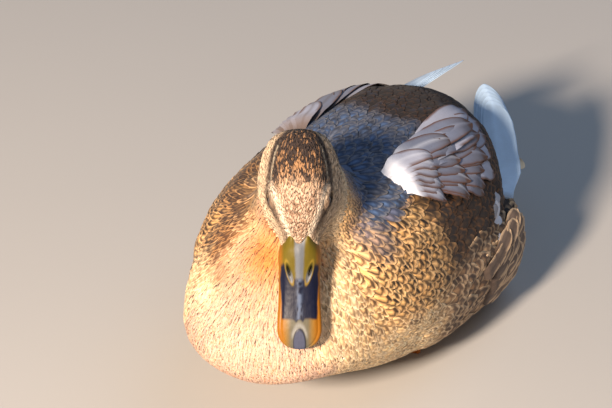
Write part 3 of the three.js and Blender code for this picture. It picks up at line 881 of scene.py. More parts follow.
def make_body_coat():
    """Body feathers, in pieces by region: soft narrow tufts on the breast and broad vanes elsewhere."""
    sizes = bpy.context.scene.duck_sizes

    def spacing(p):
        return sizes.body_spacing * between(1.5, traits(p)[..., SPACING], smooth(30, 58, apart(p, HEAD_AT)))

    roots = scattered(spacing, lambda p: (head_share(p) < 0.55) * 1.0, SEEDS["body roots"])
    roots = roots[head_share(roots) < 0.6]
    rng = np.random.default_rng(SEEDS["body"])
    kind, gap = traits(roots), spacing(roots)
    fine, front, left = gap < FINE_GAP, roots[:, 1] < BREAST_END, roots[:, 0] >= 0
    rear, above = ~front & ~fine, roots[:, 2] > BACK_LEVEL
    regions = {
        "breast": fine & left, "breast_far": fine & ~left, "speckled": front & ~fine, "back": rear & above,
        "side_left": rear & ~above & left, "side_right": rear & ~above & ~left,
    }
    finish = plumage_finish("body_plumage", 0.5, 0.75)
    for name, mask in regions.items():
        r, near, t = roots[mask], gap[mask], kind[mask]
        loose = 0.85 + 0.3 * rng.random((3, len(r)))
        soft = name.startswith("breast")
        shape = {
            "length": near * t[:, LENGTH] * loose[0] * sizes.body_length,
            "width": near * t[:, WIDTH] * loose[1] * sizes.body_width,
            "base": 0.05 + (0.15 if soft else 0.25) * rng.random(len(r)),
            "rise": np.clip(near * 0.2, 0.25, 1.3) * loose[2],
            "camber": 0.06 if soft else 0.12, "taper": 0.5 if soft else 0.35,
            "round": 0.4, "fray": 0.2, "root": 0.6,
        }
        sway = rng.normal(0, 0.1, (len(r), 3))
        line, normals = crept(r, shape["length"], lambda p, n: lie(p, n) + sway, 5)
        stock = Stock()
        laid(stock, r, line, normals, shape, *((6, 3) if soft else (7, 7)), body_paint(r), rng)
        stock.piece("feathers_" + name, finish, "body_plumage")


def make_head_coat():
    """Head tufts: short narrow vanes, smallest near the bill, with an opening left for each eye."""
    sizes = bpy.context.scene.duck_sizes

    def wanted(p):
        x, y, z = np.moveaxis(to_head(p), -1, 0)
        eye = np.hypot((y - EYE_AT[1]) / 4.2, (z - EYE_AT[2] + 0.2) / 2.6) + (np.abs(x) < 8)
        return (head_share(p) > 0.45) * (y > bill_edge(x) + 0.4) * (eye > 1) * 1.0

    roots = scattered(lambda p: np.full(p.shape[:-1], sizes.head_spacing), wanted, SEEDS["head roots"])
    roots = roots[wanted(roots) > 0]
    q = to_head(roots)
    rng = np.random.default_rng(SEEDS["head"])
    small = smooth(-34, -16, q[:, 1])
    loose = 0.8 + 0.4 * rng.random((3, len(roots)))
    shape = {
        "length": sizes.head_length * (0.55 + 0.45 * small) * loose[0],
        "width": sizes.head_width * (0.8 + 0.2 * small) * loose[1],
        "base": 0.05 + 0.25 * rng.random(len(roots)), "rise": (0.13 + 0.13 * small) * loose[2],
        "camber": 0.08, "round": 0.5, "fray": 0.3, "root": 0.6, "taper": 0.7,
    }
    # the tufts at the lids stand over them
    shape["base"] = shape["base"] + 0.75 * smooth(6.5, 4.5, apart(to_left(q), EYE_AT + [3, 0, 0]))
    sway = rng.normal(0, 0.08, (len(roots), 3))
    line, normals = crept(roots, shape["length"], lambda p, n: lie(p, n) + sway, 3)
    colour = head_colours(roots, rng.random(len(roots)))
    crown = q[:, 2] > 1.5
    for name, mask in (("feathers_crown", crown), ("feathers_face", ~crown)):
        stock = Stock()
        part = {k: (s[mask] if isinstance(s, np.ndarray) else s) for k, s in shape.items()}
        tint = colour[mask][:, None, None, :]

        def paint(u, v, dice, tint=tint):
            return tint * ((0.88 + 0.24 * dice[0]) * (0.9 + 0.12 * smooth(0.1, 0.7, v)))[..., None]

        laid(stock, roots[mask], line[mask], normals[mask], part, 5, 3, paint, rng)
        stock.piece(name, plumage_finish(name, 0.4, 0.78, 2.0), "crown_plumage")


# ---------------- long feathers


def blade_sheet(spine, aside, up, half, shape, rows, columns, rng):
    """Long feathers as closed thin sheets. Row v, column u: the spine at v, u half-widths aside (the
    leading web is narrower), arched by camber (1 - u^2), thinned to the edges, with a raised shaft; its
    copy below closes it."""
    u = np.sin(np.linspace(-1, 1, columns) * np.pi / 2)[None, None, :, None]
    v = stations(rows)[None, :, None, None]
    wide = half[..., None, None] * np.where(u > 0, 1 + shape["uneven"], 1 - shape["uneven"])
    frayed = 1 + shape["fray"] * (rng.random((len(spine), rows, 1, 1)) - 0.5) * (np.abs(u) > 0.8)
    across = aside[:, :, None] * (wide * u * frayed)
    arch = up[:, :, None] * (shape["camber"] * half[..., None, None] * (1 - u * u) * smooth(0, 0.2, v))
    shaft = up[:, :, None] * (0.28 * bell(u, 0.12) * (1 - 0.7 * v))
    thick = up[:, :, None] * (shape["thick"] * (1 - 0.55 * u * u) * (1 - 0.5 * v))
    roll = up[:, :, None] * (shape.get("roll", 0) * u * smooth(0, 0.3, v))
    top = spine[:, :, None] + across + arch + shaft + roll
    u, v, out = u[..., 0], v[..., 0], (wide * u)[..., 0]
    chance = rng.random((len(spine), 1, 1))
    place = np.stack(np.broadcast_arrays(out, shape["length"][:, None, None] * v, chance), -1)
    return top, top - shaft - thick, u, v, place


def sheet_faces(count, rows, columns):
    """The faces of closed sheets: the top, the same below turned over, and the rim between them."""
    n = rows * columns
    top = quads_of(rows, columns)
    r, c = np.arange(rows), np.arange(columns)
    rim = [c[:-1], r[:-1] * columns + columns - 1, (rows - 1) * columns + c[:0:-1], r[:0:-1] * columns]
    rim = np.concatenate(rim)
    after = np.roll(rim, -1)
    wall = np.stack([after, rim, rim + n, after + n], -1)
    start = (np.arange(count) * 2 * n)[:, None, None]
    made = ((top, True), (top[:, ::-1] + n, True), (wall, False))
    return [((f[None] + start).reshape(-1, 4), s) for f, s in made]


def blades(stock, spine, aside, up, half, shape, rows, columns, paint, rng):
    """Adds long feathers to a stock, painted by a function of the grid, each in a cell of the unwrap."""
    count = len(spine)
    top, below, u, v, place = blade_sheet(spine, aside, up, half, shape, rows, columns, rng)
    tint = np.broadcast_to(paint(u, v, rng.random((5, count, 1, 1))), top.shape)
    side = math.ceil(math.sqrt(count * 2))
    cell = np.arange(count * 2)
    corner = np.stack([cell % side, cell // side], -1) / side
    flat = np.stack(np.broadcast_arrays((u + 1) / 2 * 0.84 + 0.08, v * 0.84 + 0.08), -1) / side
    patch = corner.reshape(count, 2, 1, 1, 2) + flat[:, None] * np.ones((count, 2, 1, 1, 1))
    place = np.broadcast_to(place, top.shape)
    # the underside copy takes 0.8 of the tint: painted shade on the feathers' undersides
    points, tints, places = (
        np.stack(pair, 1).reshape(-1, 3) for pair in ((top, below), (tint, tint * 0.8), (place, place))
    )
    stock.add(points, sheet_faces(count, rows, columns), tints, places, patch.reshape(-1, 2))


def long_outline(v, start, tip):
    """A long feather's half-width along it, from 0 to 1: narrow at the quill, full past a third, rounded
    at the tip."""
    past = np.clip((v - tip) / (1 - tip), 0, 1)
    return (start + (1 - start) * smooth(0, 0.3, v)) * np.clip(1 - past**2.2, 0.001, 1) ** 0.6


def grey_paint(ground, edge, tip, base, rim=0.14):
    """Paints a long feather: paler towards the quill, with an edge of another colour and a pale shaft."""
    def paint(u, v, chance):
        c = mix(base, ground, smooth(0.1, 0.5, v + 0.16 * (chance[1] - 0.5)))
        c = mix(c, tip, 0.7 * smooth(0.62, 1.0, v))
        reach = np.maximum(np.abs(u) * smooth(0.15, 0.5, v), smooth(0.55, 1.0, v) ** 2)
        c = mix(c, edge, 0.9 * smooth(1 - rim * 2, 1 - rim, reach))
        c = mix(c, base, 0.45 * bell(u, 0.06))
        return c * (0.92 + 0.16 * chance[0])[..., None]

    return paint


def make_primaries():
    """The folded primaries: five long blades a side along a stack's curve, the tips stepping back."""
    finish = plumage_finish("flight_plumage", 0.22, 0.5, 1.4)
    ground, rows = tone("primaries"), 24
    paint = grey_paint(ground, ground * 1.1, ground * 0.78, ground * 1.3, 0.05)
    for side, word in SIDES:
        rng = np.random.default_rng(SEEDS["primaries"])
        *bends, lean = PRIMARIES[side]
        root, bend, tip = (np.array(q, float) * [side, 1, 1] for q in bends)
        index = np.arange(PRIMARY_BLADES)[:, None, None]
        reach = 1 - PRIMARY_STEP * index
        t = stations(rows)[None, :, None] * reach
        spine = root * (1 - t) ** 2 + 2 * bend * t * (1 - t) + tip * t * t
        along = unit(2 * (bend - root) * (1 - t) + 2 * (tip - bend) * t)
        angle = math.radians(lean)
        inward = flat_to(np.broadcast_to([-side * math.sin(angle), 0, math.cos(angle)], along.shape), along)
        outward = np.cross(along, inward) * side
        spine = spine + inward * (1.2 - index * 1.5) * (1 - 0.6 * t) + outward * (index * 0.55 - 1.4)
        v = stations(rows)[None, :]
        half = PRIMARY_HALF * (1 - 0.3 * v * reach[..., 0]) * long_outline(v, 0.5, 0.72)
        half = half * (1 - 0.03 * index[..., 0])
        length = np.full(PRIMARY_BLADES, PRIMARY_LENGTH)
        shape = {"uneven": -0.25 * side, "fray": 0.03, "camber": 0.08, "thick": 0.55, "length": length}
        stock = Stock()
        blades(stock, spine, inward * side, outward, half, shape, rows, 9, paint, rng)
        stock.piece("primaries_blades_" + word, finish, "flight_plumage", ["primaries_" + word])


def make_tail():
    """The tail: twelve blades in a fan, the middle pair on top, drooping and arched across."""
    rng = np.random.default_rng(SEEDS["tail"])
    rows, order = 16, np.array([0, 11, 1, 10, 2, 9, 3, 8, 4, 7, 5, 6])
    s = ((order + 0.5) / 6 - 1)[:, None]
    v = stations(rows)[None, :]
    droop = math.radians(TAIL_DROOP)
    reach = TAIL_LENGTH * v * (1 - 0.14 * s * s)
    x = s * 0.82 * between(*TAIL_HALVES, v)
    z = TAIL_ROOT[1] - reach * math.sin(droop) - 5 * (x / TAIL_HALVES[1]) ** 2
    z = z + (1 - np.abs(s)) * (2.2 - 1.5 * v)
    spine = np.stack([x, TAIL_ROOT[0] + reach * math.cos(droop) + 0 * x, z], -1)
    along = unit(np.gradient(spine, axis=1))
    up = flat_to(np.broadcast_to([0.0, 0, 1], along.shape) + s[..., None] * np.array([0.35, 0, 0]), along)
    aside = np.cross(along, up)
    half = TAIL_BLADE_HALF * long_outline(v, 0.45, 0.74) * np.ones_like(s)
    length = np.full(TAIL_BLADES, float(TAIL_LENGTH))
    shape = {"fray": 0.05, "camber": 0.1, "thick": 0.6, "length": length}
    shape["uneven"] = 0.12 * np.sign(s)[..., None, None]

    def paint(u, v, chance):
        dark = 0.75 * bell(u, 0.55) * (0.6 + 0.4 * np.sin(v * 21 + chance[1] * 3))
        c = mix(tone("tail"), hue(128, 100, 76), np.clip(dark, 0, 1))
        return c * (0.9 + 0.2 * chance[0])[..., None]

    stock = Stock()
    blades(stock, spine, aside, up, half, shape, rows, 9, paint, rng)
    stock.piece("tail_blades", plumage_finish("tail_plumage", 0.25, 0.6, 1.2), "wing_plumage", ["tail"])


def dropped(x, y):
    """The places on the skin straight below points seen from above."""
    ground = skin()["ground"]
    hits = [ground.ray_cast(Vector((a, b, 250)), Vector((0, 0, -1)))[0] for a, b in zip(x, y)]
    return np.array(hits)


def row_of(stock, side, roots, way, length, width, height, colours, rim, stand, rng):
    """Adds one row of long feathers that creep over the skin from their roots, each with its outer edge
    over the next one's inner edge. Stand lifts their tips off the body."""
    count, rows, steps = len(roots), 18, 10
    line, normals = crept(roots, length, way, steps, 0.6)
    at = stations(rows) * steps
    k = np.minimum(at.astype(int), steps - 1)
    part = (at - k)[None, :, None]
    spine = line[:, k] * (1 - part) + line[:, k + 1] * part
    up = unit(normals[:, k] * (1 - part) + normals[:, k + 1] * part)
    v = stations(rows)[None, :]
    lift = (height + 2) * smooth(0, 0.3, v) * (1 - 0.15 * smooth(0.8, 1, v)) - 1.6 + stand * v**2
    spine = spine + up * (lift + 0.1 * np.arange(count - 1, -1, -1)[:, None])[..., None]
    along = unit(np.gradient(spine, axis=1))
    aside = np.cross(along, up)
    half = (width / 2) * np.ones((count, 1)) * long_outline(v, 0.4, 0.5)
    shape = {"fray": 0.05, "camber": 0.04, "thick": 0.4, "length": length}
    shape["uneven"], shape["roll"] = 0.1 * side, 0.35 * side
    blades(stock, spine, aside, up, half, shape, rows, 11, grey_paint(*colours, rim), rng)


def make_scapulars():
    """The long feathers that fan from each shoulder over the folded wing, in four tiers."""
    finish = plumage_finish("wing_plumage", 0.3, 0.6, 1.2)
    lavender, brown, pale = tone("scapulars"), tone("scapular_rims"), hue(168, 172, 190)
    white, slate, dusk = hue(218, 223, 236), hue(84, 80, 90), hue(96, 84, 80)
    # x, y of the first root, how far the last is from it, count, angle at the root and at the tip of the
    # first and the last, length of the first and the last, width, height, colours, rim
    tiers = [
        ((37, 4), (10, 4), 5, (-4, 10), (2, 50), (80, 66), 21, 0.4, (pale, brown, lavender, pale), 0.1),
        ((35, -10), (11, 2), 8, (0, 14), (12, 66), (80, 60), 18, 1.7, (lavender, brown, dusk, pale), 0.11),
        ((33, -22), (11, 3), 8, (0, 18), (28, 74), (64, 46), 15, 3.0, (lavender, brown, dusk, white), 0.12),
        ((32, -31), (11, 3), 7, (0, 20), (38, 76), (44, 32), 12, 4.3, (pale, brown, slate, white), 0.14),
    ]
    for side, word in SIDES:
        stock = Stock()
        for row, (first, span, count, start, end, lengths, width, height, colours, rim) in enumerate(tiers):
            rng = np.random.default_rng(SEEDS["scapulars"] + row)
            share = np.linspace(0, 1, count)
            back = 0 if side > 0 else 24
            roots = dropped(side * (first[0] + span[0] * share), first[1] + span[1] * share + back)
            length = between(*lengths, share) * (1 + rng.normal(0, 0.03, count))
            turns = [between(*q, share) + rng.normal(0, 2, count) for q in (start, end)]

            def way(p, n, roots=roots, length=length, turns=turns):
                angle = np.radians(between(*turns, apart(p, roots) / length))
                return np.stack([side * np.sin(angle), np.cos(angle), -0.5 * np.sin(angle)], -1)

            if side < 0:
                colours = (*colours[:3], dusk)
            row_of(stock, side, roots, way, length, width, height, colours, rim, 0, rng)
        stock.piece("scapulars_" + word, finish, "wing_plumage")


def make_flanks():
    """The big feathers at the back of each flank, whose tips stand off the folded wing."""
    finish = plumage_finish("flank_plumage", 0.35, 0.65, 1.2)
    colours = (hue(112, 95, 84), hue(206, 176, 142), *[hue(74, 62, 56)] * 2)
    count = 9
    # the roots of the first and the last feather, the length, and how far the roots stray along the body
    tiers = [
        ((73, 50, 54), (74, 58, 24), 26, 2), ((75, 40, 52), (76, 48, 22), 26, 2),
        ((77, 30, 50), (78, 36, 22), 25, 2), ((78, 20, 48), (78, 25, 22), 24, 4),
    ]
    for side, word in SIDES:
        stock = Stock()
        for row, (first, last, length, stray) in enumerate(tiers):
            rng = np.random.default_rng(SEEDS["flanks"] + row)
            share = np.linspace(0, 1, count)[:, None]
            roots = (np.array(first) * (1 - share) + np.array(last) * share) * [side, 1, 1]
            roots = onto(roots + rng.normal(0, 1, (count, 3)) * [0, stray, 1])[0]
            climb = 0.28 - 0.36 * share[:, 0] + rng.normal(0, 0.06, count)

            def way(p, n, climb=climb):
                return np.stack([np.full(len(p), 0.1 * side), np.ones(len(p)), climb], -1)

            size = length * (1 + rng.normal(0, 0.06, count))
            row_of(stock, side, roots, way, size, 11, 0.5 + 0.3 * row, colours, 0.16, 2.6 - 0.8 * row, rng)
        stock.piece("flank_feathers_" + word, finish, "body_plumage")


# ---------------- bill, eyes and feet


def bill_colours(x, y, z, upper):
    """The bill's colours at its own places: orange edges, a dark saddle with ragged ends, a grey ridge
    that forks to the forehead, ochre below the saddle, and a pale ring round the dark nail."""
    if not upper:
        return mix(hue(190, 122, 34), hue(96, 84, 66), smooth(-50, -70, y) * 0.4)
    p, out = np.stack([x, y, z], -1), np.abs(x)
    wave = (noise(p, 2.6, 41) - 0.5) * 3
    olive, grey, nail = tone("bill_base"), tone("bill_ridge"), tone("nail")
    c = mix(tone("bill_edge"), olive, smooth(10.4, 8.0, out) * smooth(-54, -45, y + wave) * 0.9)
    below = mix(hue(122, 92, 40), hue(88, 84, 70), smooth(7.5, 4, out))
    c = mix(c, below, smooth(-65, -69, y + wave * 0.3) * smooth(9.5, 6.5, out))
    ridge = 1.7 + 0.04 * (y + 48)
    c = mix(c, grey, 0.95 * smooth(ridge + 0.9, ridge - 0.5, out + wave * 0.15) * smooth(-54, -46, y))
    start, low = -39 - 8 * smooth(7.6, 4.6, out), -68.3 - 1.4 * bell(out - 1.7, 0.8)
    body = smooth(start + 1.3, start - 1.3, y + wave * 0.5) * smooth(low - 0.8, low + 0.8, y + wave * 0.35)
    c = mix(c, tone("saddle"), body * smooth(10.7, 9.6, out + 0.7 * smooth(-50, -66, y) + wave * 0.2))
    # a painted blue highlight down the middle of the saddle
    painted_highlight = bell(out, 1.3) * smooth(0.3, 0.65, noise(p * [1, 0.4, 1], 0.9, 44))
    c = mix(c, hue(104, 120, 150), 0.6 * body * painted_highlight)
    slot, pit, end = bill_marks(out, y)
    # the nostril's hollow: darker olive towards its back, then grey towards its front, a painted highlight
    c = mix(c, mix(olive * 0.6, grey, smooth(-41, -46, y)), smooth(1.0, 0.8, slot) * 0.85)
    rim = np.clip(smooth(4.6, 6.6, out) + smooth(-46, -48, y), 0, 1)
    c = mix(c, hue(138, 114, 36), 0.7 * rim * bell(slot - 1.0, 0.15))
    # the nostril's slit is painted near-black: painted shade in the opening
    c = mix(c, hue(8, 7, 7), smooth(1.15, 0.8, pit))
    # a painted pale highlight round the top of the nail
    c = mix(c, hue(172, 176, 182), 0.3 * bell(end - 1.2, 0.2) * smooth(-80, -76, y))
    return mix(c, mix(nail, nail * 0.35, smooth(0.75, 0.98, end)), smooth(1.1, 0.94, end))


def bill_marks(out, y):
    """How far a place lies from the middle of the nostril's hollow, its slit and the nail: 1 at the rim."""
    middle = 5.4 + 0.26 * (y + 43.3)
    slot = np.hypot((out - middle) / 1.6, (y + 43.3) / 6.3)
    pit = np.hypot((out - middle - 0.1) / 0.65, (y + 42.3) / 3.0)
    return slot, pit, np.hypot(out / 3.4, (y + 81.5) / 8.2)


def bill_sheet(table, upper):
    """A mandible as a closed tube. Station t, angle g: half-width times cos g to the 0.8, and level plus
    rise (or minus drop) times sin g to the 0.95; both shrink to the rounded tip as an ellipse. Pits,
    rims, ridge, horns and nail are added to its height."""
    rows, around = (150, 150) if upper else (90, 80)
    t = np.linspace(0, 1, rows)[:, None]
    far, near = table[-1, 0], table[0, 0]
    y = between(near, far, np.sin(t * np.pi / 2) ** 0.9 if upper else 1 - (1 - t) ** 1.35)
    level, half, rise, drop = np.moveaxis(hermite(table, y[:, 0]), -1, 0)[..., None]
    tip = -72.0  # where the rounding of the tip begins
    round_off = np.clip(1 - np.clip((tip - y) / (tip - far), 0, 1) ** 2.5, 0, 1) ** (1 / 2.2)
    g = np.linspace(0, 2 * np.pi, around, endpoint=False)[None, :]
    g = g + 0.18 * np.sin(2 * g)
    x = half * round_off * power(np.cos(g), 0.8)
    s = np.sin(g)
    z = level + np.where(s > 0, rise, drop) * power(s, 0.95) * np.clip(round_off, 0.05, 1) ** 0.6
    y = np.broadcast_to(y, x.shape)
    if upper:
        out, top = np.abs(x), smooth(0.1, 0.5, s)
        slot, pit, end = bill_marks(out, y)
        z = z + top * (0.18 * bell(slot - 0.95, 0.2) - 0.45 * smooth(0.95, 0.4, slot))
        z = z - top * 1.1 * smooth(1.2, 0.6, pit)
        z = z + top * 0.5 * bell(out, 1.6) * smooth(-66, -50, y) * smooth(-26, -34, y)
        z = z + top * 2.1 * bell(out - 4.9, 2.4) * smooth(-31.5, -24, y)
        z = z - top * 0.35 * bell(out - half * round_off + 2.0, 0.7) * smooth(-36, -44, y)
        z = z + top * 0.5 * smooth(1.1, 0.85, end)
        z = z + top * 0.12 * (noise(np.stack([x, y, z], -1), 1.6, 43) - 0.5)
    return x, y, z


def make_bill():
    """The two halves of the bill."""
    finish = horn_finish()
    for name, table, upper in (("bill_upper", UPPER_BILL, True), ("bill_lower", LOWER_BILL, False)):
        x, y, z = bill_sheet(table, upper)
        rows, around = x.shape
        local = np.stack([x, y, z], -1).reshape(-1, 3)
        points = np.concatenate([local, [local[:around].mean(0), local[-around:].mean(0)]])
        tint = bill_colours(x, y, z, upper).reshape(-1, 3)
        tint = np.concatenate([tint, tint[:1], tint[-1:]])
        stock = Stock()
        stock.add(from_head(points), tube_faces(rows, around), tint, points)
        stock.piece(name + "_horn", finish, "bill_horn", [name], patched=False)


def ball(centre, axis, radius, rows, around):
    """A sphere with its poles on an axis: ring i at angle p_i from the pole, point j at 2 pi j / around."""
    axis = unit(np.array(axis, float))
    a = unit(np.cross(axis, [0, 0, 1.0]))
    b = np.cross(axis, a)
    p = np.linspace(0, np.pi, rows + 2)[1:-1, None, None]
    g = np.linspace(0, 2 * np.pi, around, endpoint=False)[None, :, None]
    ring = np.sin(p) * (np.cos(g) * a + np.sin(g) * b) + np.cos(p) * axis
    points = np.concatenate([ring.reshape(-1, 3), [axis, -axis]])
    from_pole = np.concatenate([np.broadcast_to(p[..., 0], (rows, around)).ravel(), [0, np.pi]])
    return centre + points * radius, tube_faces(rows, around), from_pole


def make_eyes():
    """Eyeballs, and lids: a ring round each, pinched at its corners."""
    wet, lid = eye_finish(), plumage_finish("lid_skin", 0.2, 0.6)
    rows, columns = 12, 21
    for side, word in SIDES:
        centre, look = (EYE_AT - [0.9, 0, 0]) * [side, 1, 1], np.array([side, -0.16, 0.12])
        points, faces, angle = ball(centre, look, EYE_RADIUS, 28, 40)
        tint = mix(tone("iris"), hue(8, 7, 7), smooth(0.56, 0.48, angle))
        stock = Stock()
        stock.add(from_head(points), faces, tint)
        stock.piece("eyeball_" + word, wet, "eye", ["eye_" + word], patched=False)
        look = unit(look)
        ahead = flat_to(np.array([0, -1.0, -0.12]), look)
        up = np.cross(look, ahead) * side
        up = up * np.sign(up[2])
        stock = Stock()
        for low, high in ((LID_TOP, 84), (LID_BOTTOM, -84)):
            across = np.linspace(-1, 1, columns)[None, :, None]
            rise = np.linspace(0, 1, rows)[:, None, None]
            edge = low * np.clip(1 - across**2, 0, 1) ** 0.7 - 4 * across
            tall = np.radians(between(edge, high, rise))
            turned = np.radians(74 * across) * np.cos(tall * 0.3)
            way = np.cos(tall) * (np.cos(turned) * look + np.sin(turned) * ahead) + np.sin(tall) * up
            rim = 0.14 * bell(rise, 0.12)
            outer, inner = centre + way * (EYE_RADIUS + 0.35 + rim), centre + way * (EYE_RADIUS + 0.1)
            local = np.stack([outer, inner]).reshape(-1, 3)
            faces = sheet_faces(1, rows, columns)
            if np.cross(outer[0, 1] - outer[0, 0], outer[1, 1] - outer[0, 0]) @ way[0, 0] < 0:
                faces = [(f[:, ::-1], eased) for f, eased in faces]
            place = from_head(local)
            tint = mix(head_colours(place, np.full(len(local), 0.6)), hue(84, 64, 50), 0.6)
            dark = np.tile(np.broadcast_to(smooth(0.16, 0.04, rise[..., 0]), (rows, columns)).ravel(), 2)
            stock.add(place, faces, mix(tint, hue(40, 30, 26), dark * 0.8), local)
        stock.piece("lids_" + word, lid, "crown_plumage", patched=False)


def make_feet():
    """The packed feet and legs keep their shape and take a scaled orange skin."""
    finish = foot_finish()
    for name in ("leg_left", "leg_right", "foot_left", "foot_right"):
        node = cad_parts[name]
        for held in node.material_slots:
            held.material = finish
        if not node.material_slots:
            node.data.materials.append(finish)


# ---------------- stage


def direction(turned, height):
    """The way out from the middle to a place so many degrees round from the front and so many up."""
    a, b = math.radians(turned), math.radians(height)
    return Vector((math.sin(a) * math.cos(b), -math.cos(a) * math.cos(b), math.sin(b)))


def aim(made, at, way):
    """Puts a light or the camera at a place, facing along a way."""
    made.location, made.rotation_euler = at, way.to_track_quat("-Z", "Y").to_euler()


def make_stage():
    """A pale floor, a soft warm key light low in front, a cool fill above and behind, a faint warm bounce
    from the bird's left, cool light from all round, and the camera."""
    scene = bpy.context.scene
    stage = scene.duck_stage
    mesh = bpy.data.meshes.new("floor")
    e = 6  # half the floor's side, in metres
    mesh.from_pydata([(-e, -e, 0), (e, -e, 0), (e, e, 0), (-e, e, 0)], [], [(0, 1, 2, 3)])
    pale = Finish("floor_pale", Roughness=0.85, Specular_IOR_Level=0.2)
    cloud = pale.grain(pale.place(), 3.0, 2.0)
    pale.feed("Base Color", pale.scaled(pale.joined(0.42, 0.415, 0.41), 0.97 + cloud * 0.06))
    mesh.materials.append(pale.material)
    placed("floor", mesh)
    middle = Vector((0, -0.02, 0.07))
    key_at = middle + direction(stage.key_turn, stage.key_height) * 2.4
    for name, at, size, power, colour in (
        ("key", key_at, 0.34, stage.key_power, (1.0, 0.81, 0.63)),
        ("fill", Vector((0.5, 1.2, 1.9)), 2.0, stage.fill_power, (0.66, 0.8, 1.0)),
        ("bounce", Vector((1.7, -1.7, 0.7)), 1.2, stage.bounce_power, (1.0, 0.82, 0.64)),
    ):
        light = bpy.data.lights.new(name, "AREA")
        light.energy, light.color, light.shape, light.size = power, colour, "DISK", size
        aim(placed(name, light), at, middle - at)
    world = bpy.data.worlds.new("studio")
    world.use_nodes = True
    world.node_tree.nodes["Background"].inputs["Color"].default_value = (0.52, 0.7, 1.0, 1)
    world.node_tree.nodes["Background"].inputs["Strength"].default_value = stage.ambient
    scene.world = world
    lens = bpy.data.cameras.new("camera")
    lens.sensor_width, lens.lens, lens.shift_y = 36, 168.8, stage.shift
    lens.clip_start, lens.clip_end = 0.05, 30
    back = direction(stage.azimuth, stage.elevation)
    scene.camera = placed("camera", lens)
    aim(scene.camera, Vector(stage.target) + back * stage.distance, -back)
    scene.view_settings.view_transform = "Standard"


# ---------------- the add-on


def number(name, words, default, **limits):
    """A number property with its name, description, default, and unit or limits."""
    return FloatProperty(name=name, description=words, default=default, **limits)


class DuckSizes(PropertyGroup):
    """Sizes of the plumage: scales for the body feathers, and millimetres for the head tufts."""

    body_spacing: number("Body spacing", "Scale of the gap between body feathers", 1, min=0.5)
    body_length: number("Body length", "Scale of the body feathers' length", 1, min=0.3)
    body_width: number("Body width", "Scale of the body feathers' width", 1, min=0.3)
    head_spacing: number("Head spacing", "Gap between the head tufts' roots, in mm", 0.67, min=0.5)
    head_length: number("Head length", "Length of a head tuft, in mm", 4.6, min=1)
    head_width: number("Head width", "Width of a head tuft, in mm", 1.32, min=0.3)


def colour_of(words, r, g, b):
    """A colour property whose default is given as 0 to 255 on a screen and kept as linear light."""
    return FloatVectorProperty(
        name=words, description=words + ", as linear light", size=3, subtype="COLOR", min=0, max=1,
        default=tuple(hue(r, g, b)),
    )


class DuckColours(PropertyGroup):
    """Main colours of coat, bill, eyes and feet. The table of kinds holds those of bands, edges and
    spots."""

    breast: colour_of("Breast", 194, 158, 142)
    speckled: colour_of("Sides of the breast", 250, 216, 164)
    side: colour_of("Sides", 246, 192, 124)
    flank: colour_of("Flanks", 160, 126, 94)
    belly: colour_of("Belly", 214, 180, 150)
    shoulder: colour_of("Right shoulder", 98, 72, 52)
    # the mantle's blue is painted shade: the sky's blue in the shade behind the head, over the mantle's own
    # grey
    mantle: colour_of("Mantle", 86, 110, 148)
    wing: colour_of("Wing coverts", 54, 42, 36)
    rump: colour_of("Rump", 42, 33, 30)
    vent: colour_of("Vent", 206, 176, 136)
    neck: colour_of("Neck", 134, 108, 86)
    crown: colour_of("Crown", 58, 48, 45)
    crown_streak: colour_of("Crown streaks", 154, 116, 82)
    forehead: colour_of("Forehead", 194, 166, 144)
    brow: colour_of("Brow lines", 242, 224, 202)
    cheek: colour_of("Cheeks", 212, 188, 160)
    fleck: colour_of("Face flecks", 100, 80, 64)
    # the primaries' pale grey is tinted blue: painted shade, the sky's blue in the shade
    primaries: colour_of("Primaries", 170, 194, 220)
    scapulars: colour_of("Scapulars", 122, 129, 150)
    scapular_rims: colour_of("Scapular rims", 96, 60, 38)
    tail: colour_of("Tail", 226, 206, 174)
    bill_edge: colour_of("Bill edges", 136, 86, 14)
    bill_base: colour_of("Bill base", 82, 76, 16)
    bill_ridge: colour_of("Bill ridge", 94, 99, 108)
    saddle: colour_of("Bill saddle", 10, 15, 38)
    nail: colour_of("Bill nail", 66, 70, 90)
    iris: colour_of("Iris", 62, 36, 20)
    foot: colour_of("Feet", 226, 128, 44)


class DuckStage(PropertyGroup):
    """The camera and the lights."""

    azimuth: number("Azimuth", "Camera's turn about the bird, in degrees", 28)
    elevation: number("Elevation", "Camera's height, in degrees", 31)
    distance: number("Distance", "Camera to target", 1.65, unit="LENGTH")
    target: FloatVectorProperty(
        name="Target", description="What the camera looks at", default=(-0.0277, -0.006, 0.0789),
        subtype="TRANSLATION",
    )
    shift: number("Shift", "Camera's shift up", -0.006)
    key_turn: number("Key turn", "Key light's turn to the bird's left, in degrees", 0)
    key_height: number("Key height", "Key light's height, in degrees", 28)
    key_power: number("Key power", "Warm light in front", 164, unit="POWER")
    fill_power: number("Fill power", "Cool light above and behind", 14, unit="POWER")
    bounce_power: number("Bounce power", "Faint warm light from the bird's left", 3, unit="POWER")
    ambient: number("Ambient", "Cool light from all round", 0.16)


def operator(name, label, words, make):
    """An operator class that builds one piece or group of pieces."""
    def execute(self, context):
        make()
        return {"FINISHED"}

    members = {"__doc__": words, "bl_idname": "duck." + name, "bl_label": label, "execute": execute}
    return type("DUCK_OT_" + name, (Operator,), members)


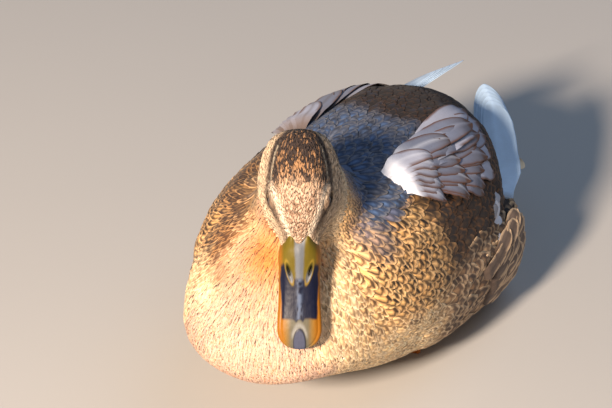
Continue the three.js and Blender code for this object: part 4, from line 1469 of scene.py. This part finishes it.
OPERATORS = [
    operator("skin", "Skin", "Build the skin in place of the nodes of flesh.", make_skin),
    operator("head_coat", "Head feathers", "Build the tufts of the crown and the face.", make_head_coat),
    operator("body_coat", "Body feathers", "Build the feathers of the neck and the body.", make_body_coat),
    operator("scapulars", "Wing feathers", "Build the long feathers over each wing.", make_scapulars),
    operator("flanks", "Flank feathers", "Build the big feathers at the back of the flanks.", make_flanks),
    operator("primaries", "Primaries", "Build the folded primaries.", make_primaries),
    operator("tail", "Tail", "Build the tail's fan.", make_tail),
    operator("bill", "Bill", "Build both halves of the bill.", make_bill),
    operator("eyes", "Eyes", "Build the eyeballs and the lids.", make_eyes),
    operator("feet", "Feet", "Finish the feet and legs.", make_feet),
    operator("stage", "Stage", "Build the floor, the lights and the camera.", make_stage),
]


class DUCK_PT_build(Panel):
    """Lists the sizes, the colours, the stage and the steps."""

    bl_label = "Lying Duck"
    bl_space_type = "VIEW_3D"
    bl_region_type = "UI"
    bl_category = "Duck"

    def draw(self, context):
        for settings in (context.scene.duck_sizes, context.scene.duck_colours, context.scene.duck_stage):
            for key in settings.bl_rna.properties.keys():
                if key not in ("rna_type", "name"):
                    self.layout.prop(settings, key)
        for step in OPERATORS:
            self.layout.operator(step.bl_idname)


CLASSES = [DuckSizes, DuckColours, DuckStage, *OPERATORS, DUCK_PT_build]


def register():
    """Adds the classes, and the settings to the scene."""
    for c in CLASSES:
        bpy.utils.register_class(c)
    bpy.types.Scene.duck_sizes = PointerProperty(type=DuckSizes)
    bpy.types.Scene.duck_colours = PointerProperty(type=DuckColours)
    bpy.types.Scene.duck_stage = PointerProperty(type=DuckStage)


def unregister():
    """Takes the settings and the classes away again."""
    del bpy.types.Scene.duck_stage, bpy.types.Scene.duck_colours, bpy.types.Scene.duck_sizes
    for c in reversed(CLASSES):
        bpy.utils.unregister_class(c)


def main():
    """Builds every piece in order, and writes the solids' box and the finished model's box."""
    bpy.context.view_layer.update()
    register()
    for step in OPERATORS:
        group, name = step.bl_idname.split(".")
        getattr(getattr(bpy.ops, group), name)()


if __name__ == "__main__":
    main()
